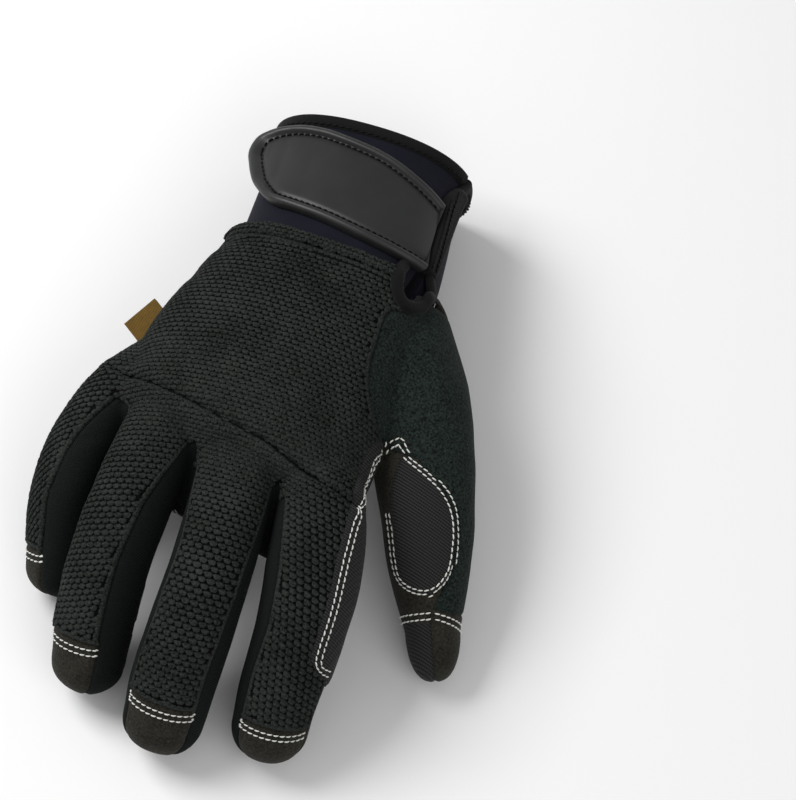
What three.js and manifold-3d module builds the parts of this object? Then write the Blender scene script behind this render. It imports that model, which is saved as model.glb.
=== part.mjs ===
// A right-hand mechanic's glove, filled as if a hand were in it, lying palm down.
// Millimetres. Fingers towards -Y, wrist towards +Y, thumb towards +X, floor at z = 0.
import * as THREE from "three";
import { mergeVertices } from "three/addons/utils/BufferGeometryUtils.js";
import Module from "manifold-3d";

const wasm = await Module();
wasm.setup();

// Driving sizes
const wall = 1.8;
const cuffWall = 2.6;
const gap = 0.3;
const patchThickness = 1.0;
const creaseDepth = 0.9;
const creaseWidth = 1.8;
const bindingThickness = 1.5;
const tabThickness = 3.2;
const tabRimHeight = 0.9;
const baseThickness = 3;
const hemThickness = 0.9;
const tagThickness = 1.2;
const tagLength = 14;
const tagTurn = 0.95;
const footprintMiddle = { x: -2.9, y: 62.1 };
const floorSize = 400;

const colour = {
  knit: 0x2b2e2c,
  smoothKnit: 0x101514,
  suede: 0x2a2925,
  twill: 0x38383a,
  fleece: 0x14201f,
  neoprene: 0x1b1c26,
  binding: 0x121314,
  rubber: 0x3a3b3b,
  label: 0x8a6a2a,
};

// Rows of a table as objects with named columns
function table(columns, values) {
  return values.map((row) => Object.fromEntries(columns.map((name, i) => [name, row[i]])));
}

const sectionColumns = ["x", "y", "z", "halfWidth", "above", "below", "roll", "arch", "skew"];

// Each limb is a tube through oval sections, from the wrist side to its tip. The
// sections of an upright limb stand across the hand, the others across their curve.
// Roll turns the back of a section towards the thumb, in degrees. Arch lowers its two
// sides, and skew moves them along the hand, both in millimetres at the edge.
const limbs = {
  palm: {
    squareness: 2.5,
    around: 20,
    steps: 1,
    innerAround: 12,
    rows: table(sectionColumns, [
      [0, -3.2, 39.6, 38.8, 28.1, 27.6, 0, 0, -2.5],
      [-2.2, -16, 42, 41.3, 27.7, 27.5, 0, 1.2, -1.9],
      [-7, -38, 46.9, 44.3, 24.8, 24.7, 0, 4.2, -1.8],
      [-9.2, -60, 50.9, 45.5, 21, 20.7, 0, 7.6, -4.5],
      [-10.8, -80, 52.2, 45, 16.8, 17, 0, 9.8, -7.2],
      [-11.5, -91, 46.8, 40, 7.5, 13, 0, 8, -7.5],
      [-11.5, -101, 42.5, 35, 5, 9, 0, 7, -7.5],
    ]),
    tip: 4,
    upright: true,
  },
  pinky: {
    squareness: 2.2,
    around: 10,
    steps: 1,
    innerAround: 6,
    rows: table(sectionColumns, [
      [-44, -50, 44, 9, 9, 8, -34, 0, 0],
      [-56, -71, 41, 12.2, 12.2, 11.5, -44, 0, 0],
      [-62.3, -90, 35, 12.8, 12, 11, -50, 0, 0],
      [-63.2, -104, 27.5, 12.4, 12, 10.5, -50, 0, 0],
      [-62, -116.6, 18.2, 12, 11.5, 10.5, -48, 0, 0],
      [-60.8, -125.2, 12, 11, 10.5, 10, -46, 0, 0],
    ]),
    tip: 10.5,
  },
  ring: {
    squareness: 2.2,
    around: 10,
    steps: 1,
    innerAround: 6,
    rows: table(sectionColumns, [
      [-29, -57, 50, 9, 9, 8, -10, 0, 0],
      [-34.5, -82, 51, 13.2, 13.2, 12.5, -16, 0, 0],
      [-37, -105, 46.5, 13.6, 13.2, 12.5, -20, 0, 0],
      [-38.8, -125, 37.5, 13.8, 13, 12, -20, 0, 0],
      [-39.1, -142, 24.2, 13.6, 13, 11.5, -20, 0, 0],
      [-38.5, -154, 13.2, 12.6, 12.2, 11.2, -18, 0, 0],
    ]),
    tip: 12.5,
  },
  middle: {
    squareness: 2.2,
    around: 10,
    steps: 1,
    innerAround: 6,
    rows: table(sectionColumns, [
      [-8, -64, 53, 9, 9, 8, 0, 0, 0],
      [-5.5, -90, 52.5, 13.6, 13.5, 12.5, 2, 0, 0],
      [-3.7, -117, 48, 14, 13.5, 12.5, 4, 0, 0],
      [-4.5, -138, 39, 14.4, 13.4, 12.2, 4, 0, 0],
      [-6.2, -154.5, 26, 14.6, 13.2, 12, 2, 0, 0],
      [-7, -166, 13.3, 13.8, 12.4, 11.2, 2, 0, 0],
    ]),
    tip: 13,
  },
  index: {
    squareness: 2.2,
    around: 10,
    steps: 1,
    innerAround: 6,
    rows: table(sectionColumns, [
      [15, -68, 51, 9, 9, 8, 6, 0, 0],
      [24, -90, 50, 14.5, 13.2, 12.5, 10, 0, 0],
      [28.2, -111, 45.5, 15.8, 13.2, 12.5, 12, 0, 0],
      [29.6, -130, 36.6, 14.6, 13, 12, 14, 0, 0],
      [28.6, -146, 24.6, 13.8, 12.8, 11.5, 12, 0, 0],
      [28.2, -157.5, 13.2, 13.1, 12.2, 11.2, 10, 0, 0],
    ]),
    tip: 13.5,
  },
  thumb: {
    squareness: 2.1,
    around: 12,
    steps: 1,
    innerAround: 8,
    rows: table(sectionColumns, [
      [14, 0, 37, 17, 17, 17, 0, 0, 0],
      [26, -18, 37, 21, 20.5, 19, 0, 0, 0],
      [39.5, -37, 36, 20, 19, 18, 0, 0, 0],
      [49.8, -56, 33.5, 18, 16, 16, 0, 0, 0],
      [57.2, -74, 29, 16.2, 14, 14.5, 0, 0, 0],
      [63.4, -91, 22.4, 14.2, 13, 13, 0, 0, 0],
      [70, -108, 13.8, 10.4, 12, 11.8, 0, 0, 0],
    ]),
    tip: 19,
  },
  cuff: {
    squareness: 2.3,
    around: 20,
    steps: 1,
    innerAround: 20,
    rows: table(sectionColumns, [
      [-4, 52.5, 25.4, 36.1, 26.4, 26.4, 0, 0, 0],
      [-3.8, 45, 27, 35.7, 26.7, 27, 0, 0, 0],
      [-3, 34, 29.8, 35.3, 26.8, 27.1, 0, 0, 0],
      [-1.7, 20, 33.6, 35.7, 26.6, 26.6, 0, 0, 0],
      [-0.5, 4, 37.5, 36.2, 26.8, 25, 0, 0, 0],
      [-0.5, -14, 41.2, 36.2, 25.6, 24, 0, 0, 0],
    ]),
    tip: 0,
    upright: true,
  },
};

const fingerNames = ["pinky", "ring", "middle", "index"];

// Smooth curves through the centres, the half sizes and the turns of a limb's sections
for (const limb of Object.values(limbs)) {
  const curve = (pick) => new THREE.CatmullRomCurve3(limb.rows.map((r) => new THREE.Vector3(...pick(r))));
  limb.centre = curve((r) => [r.x, r.y, r.z]);
  limb.size = curve((r) => [r.halfWidth, r.above, r.below]);
  limb.turn = curve((r) => [r.roll, r.arch, r.skew]);
  limb.parts = (limb.rows.length - 1) * limb.steps;
}

// Section of a limb at t, 0 at the wrist side and 1 at the last row
function sectionAt(limb, t) {
  const clamped = THREE.MathUtils.clamp(t, 0, 1);
  const step = 0.01;
  const before = limb.centre.getPoint(Math.max(clamped - step, 0));
  const after = limb.centre.getPoint(Math.min(clamped + step, 1));
  const along = limb.upright ? new THREE.Vector3(0, -1, 0) : after.sub(before).normalize();
  const side = new THREE.Vector3(0, 0, 1).cross(along).normalize();
  const up = along.clone().cross(side);
  const size = limb.size.getPoint(clamped);
  const turn = limb.turn.getPoint(clamped);
  const roll = THREE.MathUtils.degToRad(turn.x);
  const rolledSide = side.clone().multiplyScalar(Math.cos(roll)).addScaledVector(up, -Math.sin(roll));
  const rolledUp = up.clone().multiplyScalar(Math.cos(roll)).addScaledVector(side, Math.sin(roll));
  const middle = limb.centre.getPoint(clamped);
  return { middle, along, side: rolledSide, up: rolledUp, size, arch: turn.y, skew: turn.z };
}

// Point on a section's outline at an angle, 0 on the back and 90 towards the thumb
function outlinePoint(limb, section, degrees, grow, shrink = 1) {
  const a = THREE.MathUtils.degToRad(degrees);
  const power = 2 / limb.squareness;
  const across = Math.sign(Math.sin(a)) * Math.abs(Math.sin(a)) ** power;
  const over = Math.sign(Math.cos(a)) * Math.abs(Math.cos(a)) ** power;
  const height = over > 0 ? section.size.y : section.size.z;
  const point = section.middle.clone();
  point.addScaledVector(section.side, across * (section.size.x + grow) * shrink);
  point.addScaledVector(section.up, over * (height + grow) * shrink);
  point.z -= section.arch * across * across * shrink;
  point.y += section.skew * across * shrink;
  return point;
}

// Closed solid through rings of points, each ring counted the same way round
function loftRings(rings) {
  const count = rings[0].length;
  const position = rings.flat().flatMap((p) => [p.x, p.y, p.z]);
  const index = [];
  for (let r = 0; r + 1 < rings.length; r += 1) {
    for (let i = 0; i < count; i += 1) {
      const a = r * count + i;
      const b = r * count + ((i + 1) % count);
      index.push(a, a + count, b, b, a + count, b + count);
    }
  }
  const centre = (ring) => ring.reduce((sum, p) => sum.add(p), new THREE.Vector3()).divideScalar(count);
  const first = rings.length * count;
  const ends = [centre(rings[0]), centre(rings[rings.length - 1])];
  ends.forEach((p) => position.push(p.x, p.y, p.z));
  const last = (rings.length - 1) * count;
  for (let i = 0; i < count; i += 1) {
    const next = (i + 1) % count;
    index.push(first, i, next);
    index.push(first + 1, last + next, last + i);
  }
  const geometry = new THREE.BufferGeometry();
  geometry.setAttribute("position", new THREE.Float32BufferAttribute(position, 3));
  geometry.setIndex(index);
  return geometry;
}

// Solid of a closed geometry whose vertices are shared
function solid(geometry) {
  const bare = geometry.clone();
  Object.keys(bare.attributes).filter((k) => k !== "position").forEach((k) => bare.deleteAttribute(k));
  const merged = mergeVertices(bare, 1e-4);
  const made = new wasm.Manifold(new wasm.Mesh({
    numProp: 3,
    vertProperties: new Float32Array(merged.attributes.position.array),
    triVerts: new Uint32Array(merged.index.array),
  }));
  if (made.volume() > 0) return made;
  const flipped = new Uint32Array(merged.index.array);
  for (let i = 0; i < flipped.length; i += 3) [flipped[i], flipped[i + 1]] = [flipped[i + 1], flipped[i]];
  return new wasm.Manifold(new wasm.Mesh({
    numProp: 3,
    vertProperties: new Float32Array(merged.attributes.position.array),
    triVerts: flipped,
  }));
}

const join = (...solids) => solids.reduce((sum, s) => sum.add(s));

// Whole limb, grown outwards by a distance, with a round tip. Its ends can be moved
// along it: before lengthens the wrist side and after the other side.
function limbSolid(name, grow, { inner = false, from = 0, to = 1, before = 0, after = 0 } = {}) {
  const limb = limbs[name];
  const count = inner ? limb.innerAround : limb.around;
  const angles = Array.from({ length: count }, (_, i) => (360 * i) / count);
  const ringAt = (section, shrink = 1) => angles.map((d) => outlinePoint(limb, section, d, grow, shrink));
  const moved = (section, distance) => {
    const middle = section.middle.clone().addScaledVector(section.along, distance);
    return { ...section, middle };
  };
  const parts = Math.max(1, Math.round(limb.parts * (to - from)));
  const rings = [];
  for (let i = 0; i <= parts; i += 1) {
    const section = sectionAt(limb, from + ((to - from) * i) / parts);
    const shift = (i === 0 ? -before : 0) + (i === parts ? after : 0);
    rings.push(ringAt(moved(section, shift)));
  }
  const end = sectionAt(limb, 1);
  for (const degrees of limb.tip > 0 ? [34, 66] : []) {
    const bend = THREE.MathUtils.degToRad(degrees);
    rings.push(ringAt(moved(end, (limb.tip + grow) * Math.sin(bend)), Math.cos(bend)));
  }
  return solid(loftRings(rings));
}

// Wedge of a limb between two angles and two stations, from its axis outwards.
// Each row of the spans gives a station t and the two angles there.
function sector(name, spans, { reach = 2.5, spread = 0, pieces = 3, past = 0 } = {}) {
  const limb = limbs[name];
  const slice = (span, forward) => {
    const section = sectionAt(limb, span.t);
    section.middle.addScaledVector(section.along, forward);
    const turn = THREE.MathUtils.radToDeg(spread / section.size.x);
    const from = span.from - turn;
    const to = span.to + turn;
    const ring = [section.middle.clone()];
    for (let i = 0; i <= pieces; i += 1) {
      ring.push(outlinePoint(limb, section, from + ((to - from) * i) / pieces, reach + spread));
    }
    return ring;
  };
  const first = spans[0];
  const last = spans[spans.length - 1];
  const rings = [slice(first, -spread - past)];
  for (let s = 0; s + 1 < spans.length; s += 1) {
    const parts = Math.max(1, Math.round((spans[s + 1].t - spans[s].t) * limb.parts));
    for (let i = s === 0 && spread + past === 0 ? 1 : 0; i < parts; i += 1) {
      const k = i / parts;
      const at = (key) => THREE.MathUtils.lerp(spans[s][key], spans[s + 1][key], k);
      rings.push(slice({ t: at("t"), from: at("from"), to: at("to") }, 0));
    }
  }
  rings.push(slice(last, last.t < 1 ? spread : 0));
  if (last.t >= 1) rings.push(slice(last, limb.tip + reach + spread + past));
  return solid(loftRings(rings));
}

// Upright prism over an outline in plan, from one height to another
function prism(points, bottom, top) {
  const shape = new THREE.Shape(points.map(([x, y]) => new THREE.Vector2(x, y)));
  const geometry = new THREE.ExtrudeGeometry(shape, { depth: top - bottom, bevelEnabled: false });
  geometry.translate(0, 0, bottom);
  return solid(geometry);
}

// Largest connected body of a mesh, as a geometry
function largestBody(manifold) {
  const mesh = manifold.getMesh();
  const owner = Array.from({ length: mesh.vertProperties.length / 3 }, (_, i) => i);
  const root = (i) => {
    while (owner[i] !== i) {
      owner[i] = owner[owner[i]];
      i = owner[i];
    }
    return i;
  };
  const tris = mesh.triVerts;
  for (let i = 0; i < tris.length; i += 3) {
    owner[root(tris[i])] = root(tris[i + 1]);
    owner[root(tris[i + 1])] = root(tris[i + 2]);
  }
  const volumes = new Map();
  const corner = (i) => new THREE.Vector3().fromArray(mesh.vertProperties, tris[i] * 3);
  for (let i = 0; i < tris.length; i += 3) {
    const part = corner(i).dot(corner(i + 1).cross(corner(i + 2)));
    const key = root(tris[i]);
    volumes.set(key, (volumes.get(key) ?? 0) + part);
  }
  const kept = [...volumes.entries()].sort((a, b) => b[1] - a[1])[0][0];
  const index = [];
  for (let i = 0; i < tris.length; i += 3) {
    if (root(tris[i]) === kept) index.push(tris[i], tris[i + 1], tris[i + 2]);
  }
  const geometry = new THREE.BufferGeometry();
  geometry.setAttribute("position", new THREE.Float32BufferAttribute(mesh.vertProperties, 3));
  geometry.setIndex(index);
  return mergeVertices(geometry.toNonIndexed(), 1e-5);
}

const glove = new THREE.Group();
glove.position.set(footprintMiddle.x, footprintMiddle.y, 0);

function addPiece(name, shape, tint, roughness = 0.9) {
  const geometry = shape instanceof THREE.BufferGeometry ? shape : largestBody(shape);
  const material = new THREE.MeshStandardMaterial({ color: tint, roughness, metalness: 0 });
  const mesh = new THREE.Mesh(geometry, material);
  mesh.name = name;
  glove.add(mesh);
}

// Everything below a height, to flatten what rests on the floor
function below(height) {
  const box = new THREE.BoxGeometry(floorSize, floorSize, floorSize);
  box.translate(0, 0, height - floorSize / 2);
  return solid(box);
}

// Hand form grown by a distance, flattened where its patches rest on the floor
const restHeight = gap + patchThickness;
function handForm(grow, inner = false) {
  const palm = limbSolid("palm", grow, { inner, before: inner ? 6 : 0 });
  const others = ["thumb", ...fingerNames].map((name) => (
    limbSolid(name, grow, { inner, before: inner ? -wall : 0 })
  ));
  return join(palm, ...others).subtract(below(restHeight - grow));
}

const cuffRoom = limbSolid("cuff", gap, { after: gap });
const shell = handForm(0).subtract(handForm(-wall, true).add(cuffRoom));
const patchLayer = handForm(restHeight).subtract(handForm(gap));

// Seams along a finger: stations with the angles of the wall between two fingers
const seamColumns = ["t", "from", "to"];
const thumbSideWalls = {
  pinky: table(seamColumns, [[0.2, 62, 125], [0.4, 42, 122], [0.6, 28, 120], [1, 22, 120]]),
  ring: table(seamColumns, [[0.2, 76, 125], [0.4, 50, 122], [0.6, 42, 120], [1, 38, 120]]),
  middle: table(seamColumns, [[0.2, 72, 125], [0.4, 56, 122], [1, 52, 120]]),
};
const outerSideWalls = {
  ring: table(seamColumns, [[0.2, -125, -70], [0.4, -122, -58], [1, -120, -56]]),
  middle: table(seamColumns, [[0.2, -125, -70], [0.4, -122, -58], [1, -120, -54]]),
  index: table(seamColumns, [[0.2, -125, -62], [0.4, -122, -50], [1, -120, -50]]),
};
const fingerBacks = {
  pinky: { from: -104, to: 60, cap: 0.86 },
  ring: { from: -80, to: 80, cap: 0.86 },
  middle: { from: -80, to: 80, cap: 0.86 },
  index: { from: -80, to: 72, cap: 0.93 },
};
const webEnds = [0.2, 0.4];
const webAngle = 112;
const webSpread = 14;
const webReach = 6;

// The two facing sides of neighbouring fingers and the web between them
function webWall(thumbSideOf, outerSideOf, spread = 0) {
  const sides = [[thumbSideOf, thumbSideWalls[thumbSideOf]], [outerSideOf, outerSideWalls[outerSideOf]]];
  return join(...sides.flatMap(([name, spans]) => {
    const centre = spans[0].from > 0 ? webAngle : -webAngle;
    const near = webEnds.map((t) => ({ t, from: centre - webSpread, to: centre + webSpread }));
    return [sector(name, spans, { spread }), sector(name, near, { reach: webReach, spread, pieces: 1 })];
  }));
}

const webs = [["pinky", "ring"], ["ring", "middle"], ["middle", "index"]];
for (const [a, b] of webs) {
  addPiece(`side_wall_${a}_${b}`, shell.intersect(webWall(a, b)), colour.smoothKnit);
}
const webCuts = join(...webs.map(([a, b]) => webWall(a, b, gap)));

const capCut = (name, spread = 0) => {
  const { from, to, cap } = fingerBacks[name];
  return sector(name, [{ t: cap, from, to }, { t: 1, from, to }], { reach: 3, spread });
};
for (const name of fingerNames) {
  addPiece(`cap_${name}`, shell.intersect(capCut(name)).subtract(webCuts), colour.suede);
}
const capCuts = join(...fingerNames.map((name) => capCut(name, gap)));

// Fleece round the outer side of the thumb's ball and the back of the thumb.
// In plan its edge runs along the back of the hand and, below, along the thumb's ball.
const fleeceTop = [[70, -8], [36, -8], [31, -17], [26, -20], [25.5, -32], [27, -46], [33, -57], [41, -62], [70, -62]];
const fleeceUnder = [[70, -8], [24, -8], [30, -20], [40, -36], [50, -58], [70, -62]];
const fleeceSplit = 40;
const thumbSeams = table(seamColumns, [
  [0.44, -24, 186], [0.55, -4, 190], [0.65, 24, 192], [0.8, 34, 192], [0.93, 18, 192],
]);
const onPlan = (points, offset) => {
  const middle = points.reduce((sum, p) => [sum[0] + p[0] / points.length, sum[1] + p[1] / points.length], [0, 0]);
  return points.map(([x, y]) => {
    const reach = Math.hypot(x - middle[0], y - middle[1]);
    return [x + ((x - middle[0]) / reach) * offset, y + ((y - middle[1]) / reach) * offset];
  });
};
const fleeceCut = (spread = 0) => join(
  prism(onPlan(fleeceTop, spread * 1.4), fleeceSplit, 95),
  prism(onPlan(fleeceUnder, spread * 1.4), -5, fleeceSplit),
  sector("thumb", thumbSeams, { reach: 3, spread, pieces: 6 }),
);
const thumbCapSpan = [{ t: 0.93, from: -4, to: 192 }, { t: 1, from: -4, to: 192 }];
const thumbFrontSpans = table(seamColumns, [[0.5, -168, 20], [1, -168, 20]]);
const thumbCapCut = (spread = 0) => sector("thumb", thumbCapSpan, { reach: 3, spread, pieces: 6 });
const thumbFrontCut = (spread = 0) => sector("thumb", thumbFrontSpans, { reach: 3, spread, pieces: 6 });

// Slit in the wrist beside the thumb, from the mouth down into the back of the hand
const slitInHand = [[26.5, 10], [26.5, -6], [28, -11], [30, -12.5], [32, -11], [33.5, -6], [33.5, 10]];
const slitLoop = [
  [22.5, 1], [22.2, -6], [24, -13], [27, -16.5], [30, -17.5], [33.5, -16], [36.4, -12], [37.4, -6], [37.6, 1],
  [34, 1], [33.8, -6], [32.3, -11.3], [30, -12.9], [27.7, -11.3], [26.2, -6], [26.2, 1],
];
const slitInCuff = table(seamColumns, [[0, 72, 78], [0.4, 64, 70], [0.75, 56, 63], [1, 48, 58]]);
const handSlit = prism(slitInHand, 40, 90);

const palmBackSpan = [{ t: 0, from: -100, to: 84 }, { t: 1, from: -100, to: 84 }];
const hemSpan = [{ t: 0, from: -100, to: 84 }, { t: 0.045, from: -100, to: 84 }];
const backCut = (spread = 0) => join(
  sector("palm", palmBackSpan, { reach: 6, spread, pieces: 6, past: 2 }),
  ...fingerNames.map((name) => {
    const { from, to, cap } = fingerBacks[name];
    return sector(name, [{ t: 0.2, from, to }, { t: cap, from, to }], { spread });
  }),
);
const thumbCuts = join(fleeceCut(gap), thumbCapCut(gap), thumbFrontCut(gap));
const hemCut = sector("palm", hemSpan, { reach: 4, pieces: 6, past: 6 });
const hemEdge = sector("palm", hemSpan, { reach: 4, spread: gap, pieces: 6, past: 6 });

addPiece("thumb_fleece", shell.intersect(fleeceCut()).subtract(handSlit), colour.fleece, 1);
addPiece("cap_thumb", shell.intersect(thumbCapCut()).subtract(fleeceCut(gap)), colour.suede);
const thumbOthers = fleeceCut(gap).add(thumbCapCut(gap));
addPiece("thumb_front", shell.intersect(thumbFrontCut()).subtract(thumbOthers), colour.suede);

// Knitted back of the hand and fingers, with the stitched crease at the knuckles
const creaseLine = [[-60, -64], [-50, -67], [-36, -71.5], [-14, -77.5], [2, -80.5], [21, -86], [39, -90]];
const creaseEdge = (offset) => creaseLine.map(([x, y]) => [x, y + offset]);
const crease = prism(
  [...creaseEdge(-creaseWidth / 2), ...creaseEdge(creaseWidth / 2).reverse()], 45, 90,
).intersect(handForm(2).subtract(handForm(-creaseDepth)));
const back = shell.intersect(backCut()).subtract(join(webCuts, capCuts, thumbCuts, handSlit, hemEdge));
addPiece("back_panel", back.subtract(crease), colour.knit);

const hemBand = handForm(hemThickness).subtract(handForm(-wall, true).add(cuffRoom)).intersect(hemCut);
const slitRoom = prism(onPlan(slitLoop.slice(0, 9), 2 * gap), 40, 95).subtract(handForm(0));
addPiece("wrist_hem", hemBand.subtract(join(handSlit, fleeceCut(gap), slitRoom)), colour.knit);

// Suede palm with the fronts of the fingers
const palm = shell.subtract(join(backCut(gap), webCuts, capCuts, thumbCuts));
addPiece("palm_panel", palm, colour.suede);

// Ribbed patches on the palm side of each finger: one over the tip and one below it
const patchColumns = ["t", "halfAngle"];
const tipPatchRows = table(patchColumns, [[0.86, 48], [1, 46]]);
const midPatchRows = table(patchColumns, [[0.58, 18], [0.62, 36], [0.68, 46], [0.8, 48]]);
const patchCut = (name, rows, spread = 0) => {
  const spans = rows.map(({ t, halfAngle }) => ({ t, from: 180 - halfAngle, to: 180 + halfAngle }));
  return sector(name, spans, { reach: 4, pieces: 2, spread });
};
for (const name of fingerNames) {
  addPiece(`tip_patch_${name}`, patchLayer.intersect(patchCut(name, tipPatchRows)), colour.twill, 0.75);
  addPiece(`mid_patch_${name}`, patchLayer.intersect(patchCut(name, midPatchRows)), colour.twill, 0.75);
}

// Teardrop on the side of the thumb, and the patch over the web along the index finger.
// Outlines are in plan.
const teardrop = [
  [45, -64], [50, -64.5], [57, -67.5], [63.5, -72], [68.5, -79], [70.5, -87], [71.5, -94], [69.5, -100],
  [65, -103], [59.5, -103], [54.5, -99.5], [50.5, -92], [47, -83], [44, -74],
];
const webOutline = [
  [41.5, -59.5], [37, -62], [34.5, -70], [35.5, -82], [36.5, -96], [37.5, -110], [37.5, -122], [37, -134],
  [38.5, -141], [43, -143], [52, -140], [52, -118], [50, -96], [46, -80], [43, -70],
];
addPiece("thumb_side_patch", patchLayer.intersect(prism(teardrop, 27, 70)), colour.twill, 0.75);
const webLayer = patchLayer.subtract(limbSolid("thumb", restHeight + gap));
addPiece("web_patch", webLayer.intersect(prism(webOutline, 27, 70)), colour.twill, 0.75);

// Ribbed patches on the palm. Outlines are in plan.
const patchTop = 38;
const palmPatches = {
  upper_palm_patch: [
    [-57, -82], [-34, -91], [33, -95], [38, -104], [37, -120], [24, -121], [20, -108], [12, -104.5],
    [4, -108], [2, -123], [-10, -123], [-13, -108], [-20, -103], [-28, -106], [-31, -119], [-43, -118],
    [-45, -104], [-51, -98], [-66, -97], [-65, -88],
  ],
  outer_palm_patch: [
    [-50, -80], [-30, -86], [-11, -88], [-4.5, -85], [-5, -80], [-15, -70], [-27, -57], [-33, -40], [-34, -24],
    [-41, -23], [-47, -40], [-53, -62],
  ],
  thumb_ball_patch: [
    [9, -88], [30, -89], [31, -83], [25, -78], [25, -64], [30, -50], [31, -38], [25, -28], [15, -20], [4, -15],
    [-8, -14], [-18, -21], [-24, -33], [-23, -47], [-16, -58], [-4, -68], [6, -77],
  ],
  heel_patch: [[-35, -17], [-22, -14], [-12, -8.5], [-13, -6], [-24, -6], [-34, -7]],
};
const fingerPatches = join(
  ...fingerNames.map((name) => patchCut(name, midPatchRows, 2 * gap)),
  prism(onPlan(webOutline, 2 * gap), -5, patchTop + 1),
);
const palmLayer = patchLayer.subtract(fingerPatches);
for (const [name, outline] of Object.entries(palmPatches)) {
  addPiece(name, palmLayer.intersect(prism(outline, -5, patchTop)), colour.twill, 0.75);
}

// Neoprene wrist tube with its slit, and the binding round the mouth
const cuffSlit = (spread = 0) => sector("cuff", slitInCuff, { reach: 9, spread, pieces: 2, past: 6 });
const cuffForm = (grow, options) => limbSolid("cuff", grow, options).subtract(below(gap + bindingThickness - grow));
const cuffTube = cuffForm(0).subtract(cuffForm(-cuffWall, { before: 6, after: 6 }));
addPiece("cuff", cuffTube.subtract(cuffSlit()), colour.neoprene, 0.8);

const bindingSpan = { to: 0.055 };
const roomSpan = { to: 0.2 };
const bindingOuter = cuffForm(gap + bindingThickness, { ...bindingSpan, before: gap + bindingThickness });
const bindingInner = cuffForm(-cuffWall - gap - bindingThickness, { ...bindingSpan, before: 9, after: 4 });
const bindingRoom = cuffForm(gap, { ...roomSpan, before: gap });
const bindingCore = cuffForm(-cuffWall - gap, { ...roomSpan, before: 9, after: 4 });
const mouthBinding = bindingOuter.subtract(bindingInner).subtract(bindingRoom.subtract(bindingCore));
addPiece("cuff_binding", mouthBinding.subtract(cuffSlit(gap)), colour.binding, 0.8);

// Station of a limb at a distance along the hand
function stationAt(limb, y) {
  let low = 0;
  let high = 1;
  for (let i = 0; i < 24; i += 1) {
    const t = (low + high) / 2;
    if (limb.centre.getPoint(t).y > y) low = t;
    else high = t;
  }
  return low;
}

// Angle on a section that lies a girth distance from the top
function girthAngle(limb, section, distance, grow) {
  const step = 2;
  let angle = 0;
  let run = 0;
  let last = outlinePoint(limb, section, 0, grow);
  while (run < Math.abs(distance)) {
    angle += step;
    const next = outlinePoint(limb, section, Math.sign(distance) * angle, grow);
    const length = next.distanceTo(last);
    if (run + length >= Math.abs(distance)) {
      return Math.sign(distance) * (angle - step + (step * (Math.abs(distance) - run)) / length);
    }
    run += length;
    last = next;
  }
  return 0;
}

// Strip laid round a limb. Each span gives a girth distance from the top, the two edges
// there along the hand and how far the strip stands off. Its thickness is near to far.
function wrapped(name, spans, near, far, across = 4) {
  const limb = limbs[name];
  const rings = spans.map(({ girth, low, high, lift }) => {
    const row = (height) => Array.from({ length: across + 1 }, (_, i) => {
      const section = sectionAt(limb, stationAt(limb, THREE.MathUtils.lerp(low, high, i / across)));
      return outlinePoint(limb, section, girthAngle(limb, section, girth, near), height + lift);
    });
    return [...row(near), ...row(far).reverse()];
  });
  return solid(loftRings(rings));
}

// Strap tab with a round end on the little finger's side, and its sunk middle
const spanColumns = ["girth", "low", "high", "lift"];
const tabSpans = table(spanColumns, [
  [-49.5, 33.5, 37.5, 2.8], [-47.8, 30, 41, 2.6], [-44.5, 26.4, 44, 2.2], [-40, 22.4, 45.7, 1.6],
  [-34.4, 17.2, 46.3, 0.9], [-26.3, 9.9, 46.2, 0.3], [-15.2, 6.2, 45.6, 0], [-3.5, 4.2, 44.3, 0],
  [8, 2.4, 42.6, 0], [22, 1.1, 37.6, 0], [32, 1.1, 34, 0],
]);
const tabMiddle = table(spanColumns, [
  [-44.5, 33, 36.5, 2.2], [-42.5, 30, 38.8, 2], [-39, 26.6, 40.2, 1.5], [-34, 22.2, 40.6, 0.9], [-28, 16.2, 40.4, 0.4],
  [-21.5, 12.8, 40, 0.1], [-10, 9.6, 39.4, 0], [3, 7.8, 38.2, 0], [14, 6.4, 36, 0], [29.5, 5.6, 31, 0],
]);
const tabTop = gap + tabThickness;
const tabBody = wrapped("cuff", tabSpans, gap, tabTop);
const tabRecess = wrapped("cuff", tabMiddle, tabTop - tabRimHeight, tabTop + 2);
addPiece("strap_tab", tabBody.subtract(tabRecess).subtract(cuffRoom), colour.rubber, 0.45);

// Folded cloth end that carries the tab
const baseSpans = table(spanColumns, [
  [32.7, 2.4, 33, 0], [34.5, 2.1, 40, 0], [38.4, 1.7, 45.6, 0], [40.5, 15, 46.2, 0], [43, 31, 46.2, 0], [45.2, 43, 45.6, 0],
]);
const baseStrip = wrapped("cuff", baseSpans, gap, gap + baseThickness);
addPiece("strap_base", baseStrip.subtract(cuffRoom), colour.binding, 0.8);

// Binding of the slit: a U round its lower end and a leg up its thumb side
const bodyForm = (grow) => handForm(grow).add(limbSolid("cuff", grow));
const loop = bodyForm(gap + bindingThickness).subtract(bodyForm(gap)).intersect(prism(slitLoop, 47, 90));
addPiece("slit_binding", loop, colour.binding, 0.8);

// Blank woven loop in the outer side seam
const tag = new THREE.BoxGeometry(tagLength, tagLength, tagThickness);
tag.rotateY(-0.3);
tag.rotateZ(tagTurn);
tag.translate(-56.5, -37, 33.5);
addPiece("side_tag", solid(tag).subtract(handForm(gap)), colour.label, 0.7);

export default glove;
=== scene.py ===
import math
import bpy
import numpy as np
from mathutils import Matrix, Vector, kdtree, noise
from mathutils.bvhtree import BVHTree


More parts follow.
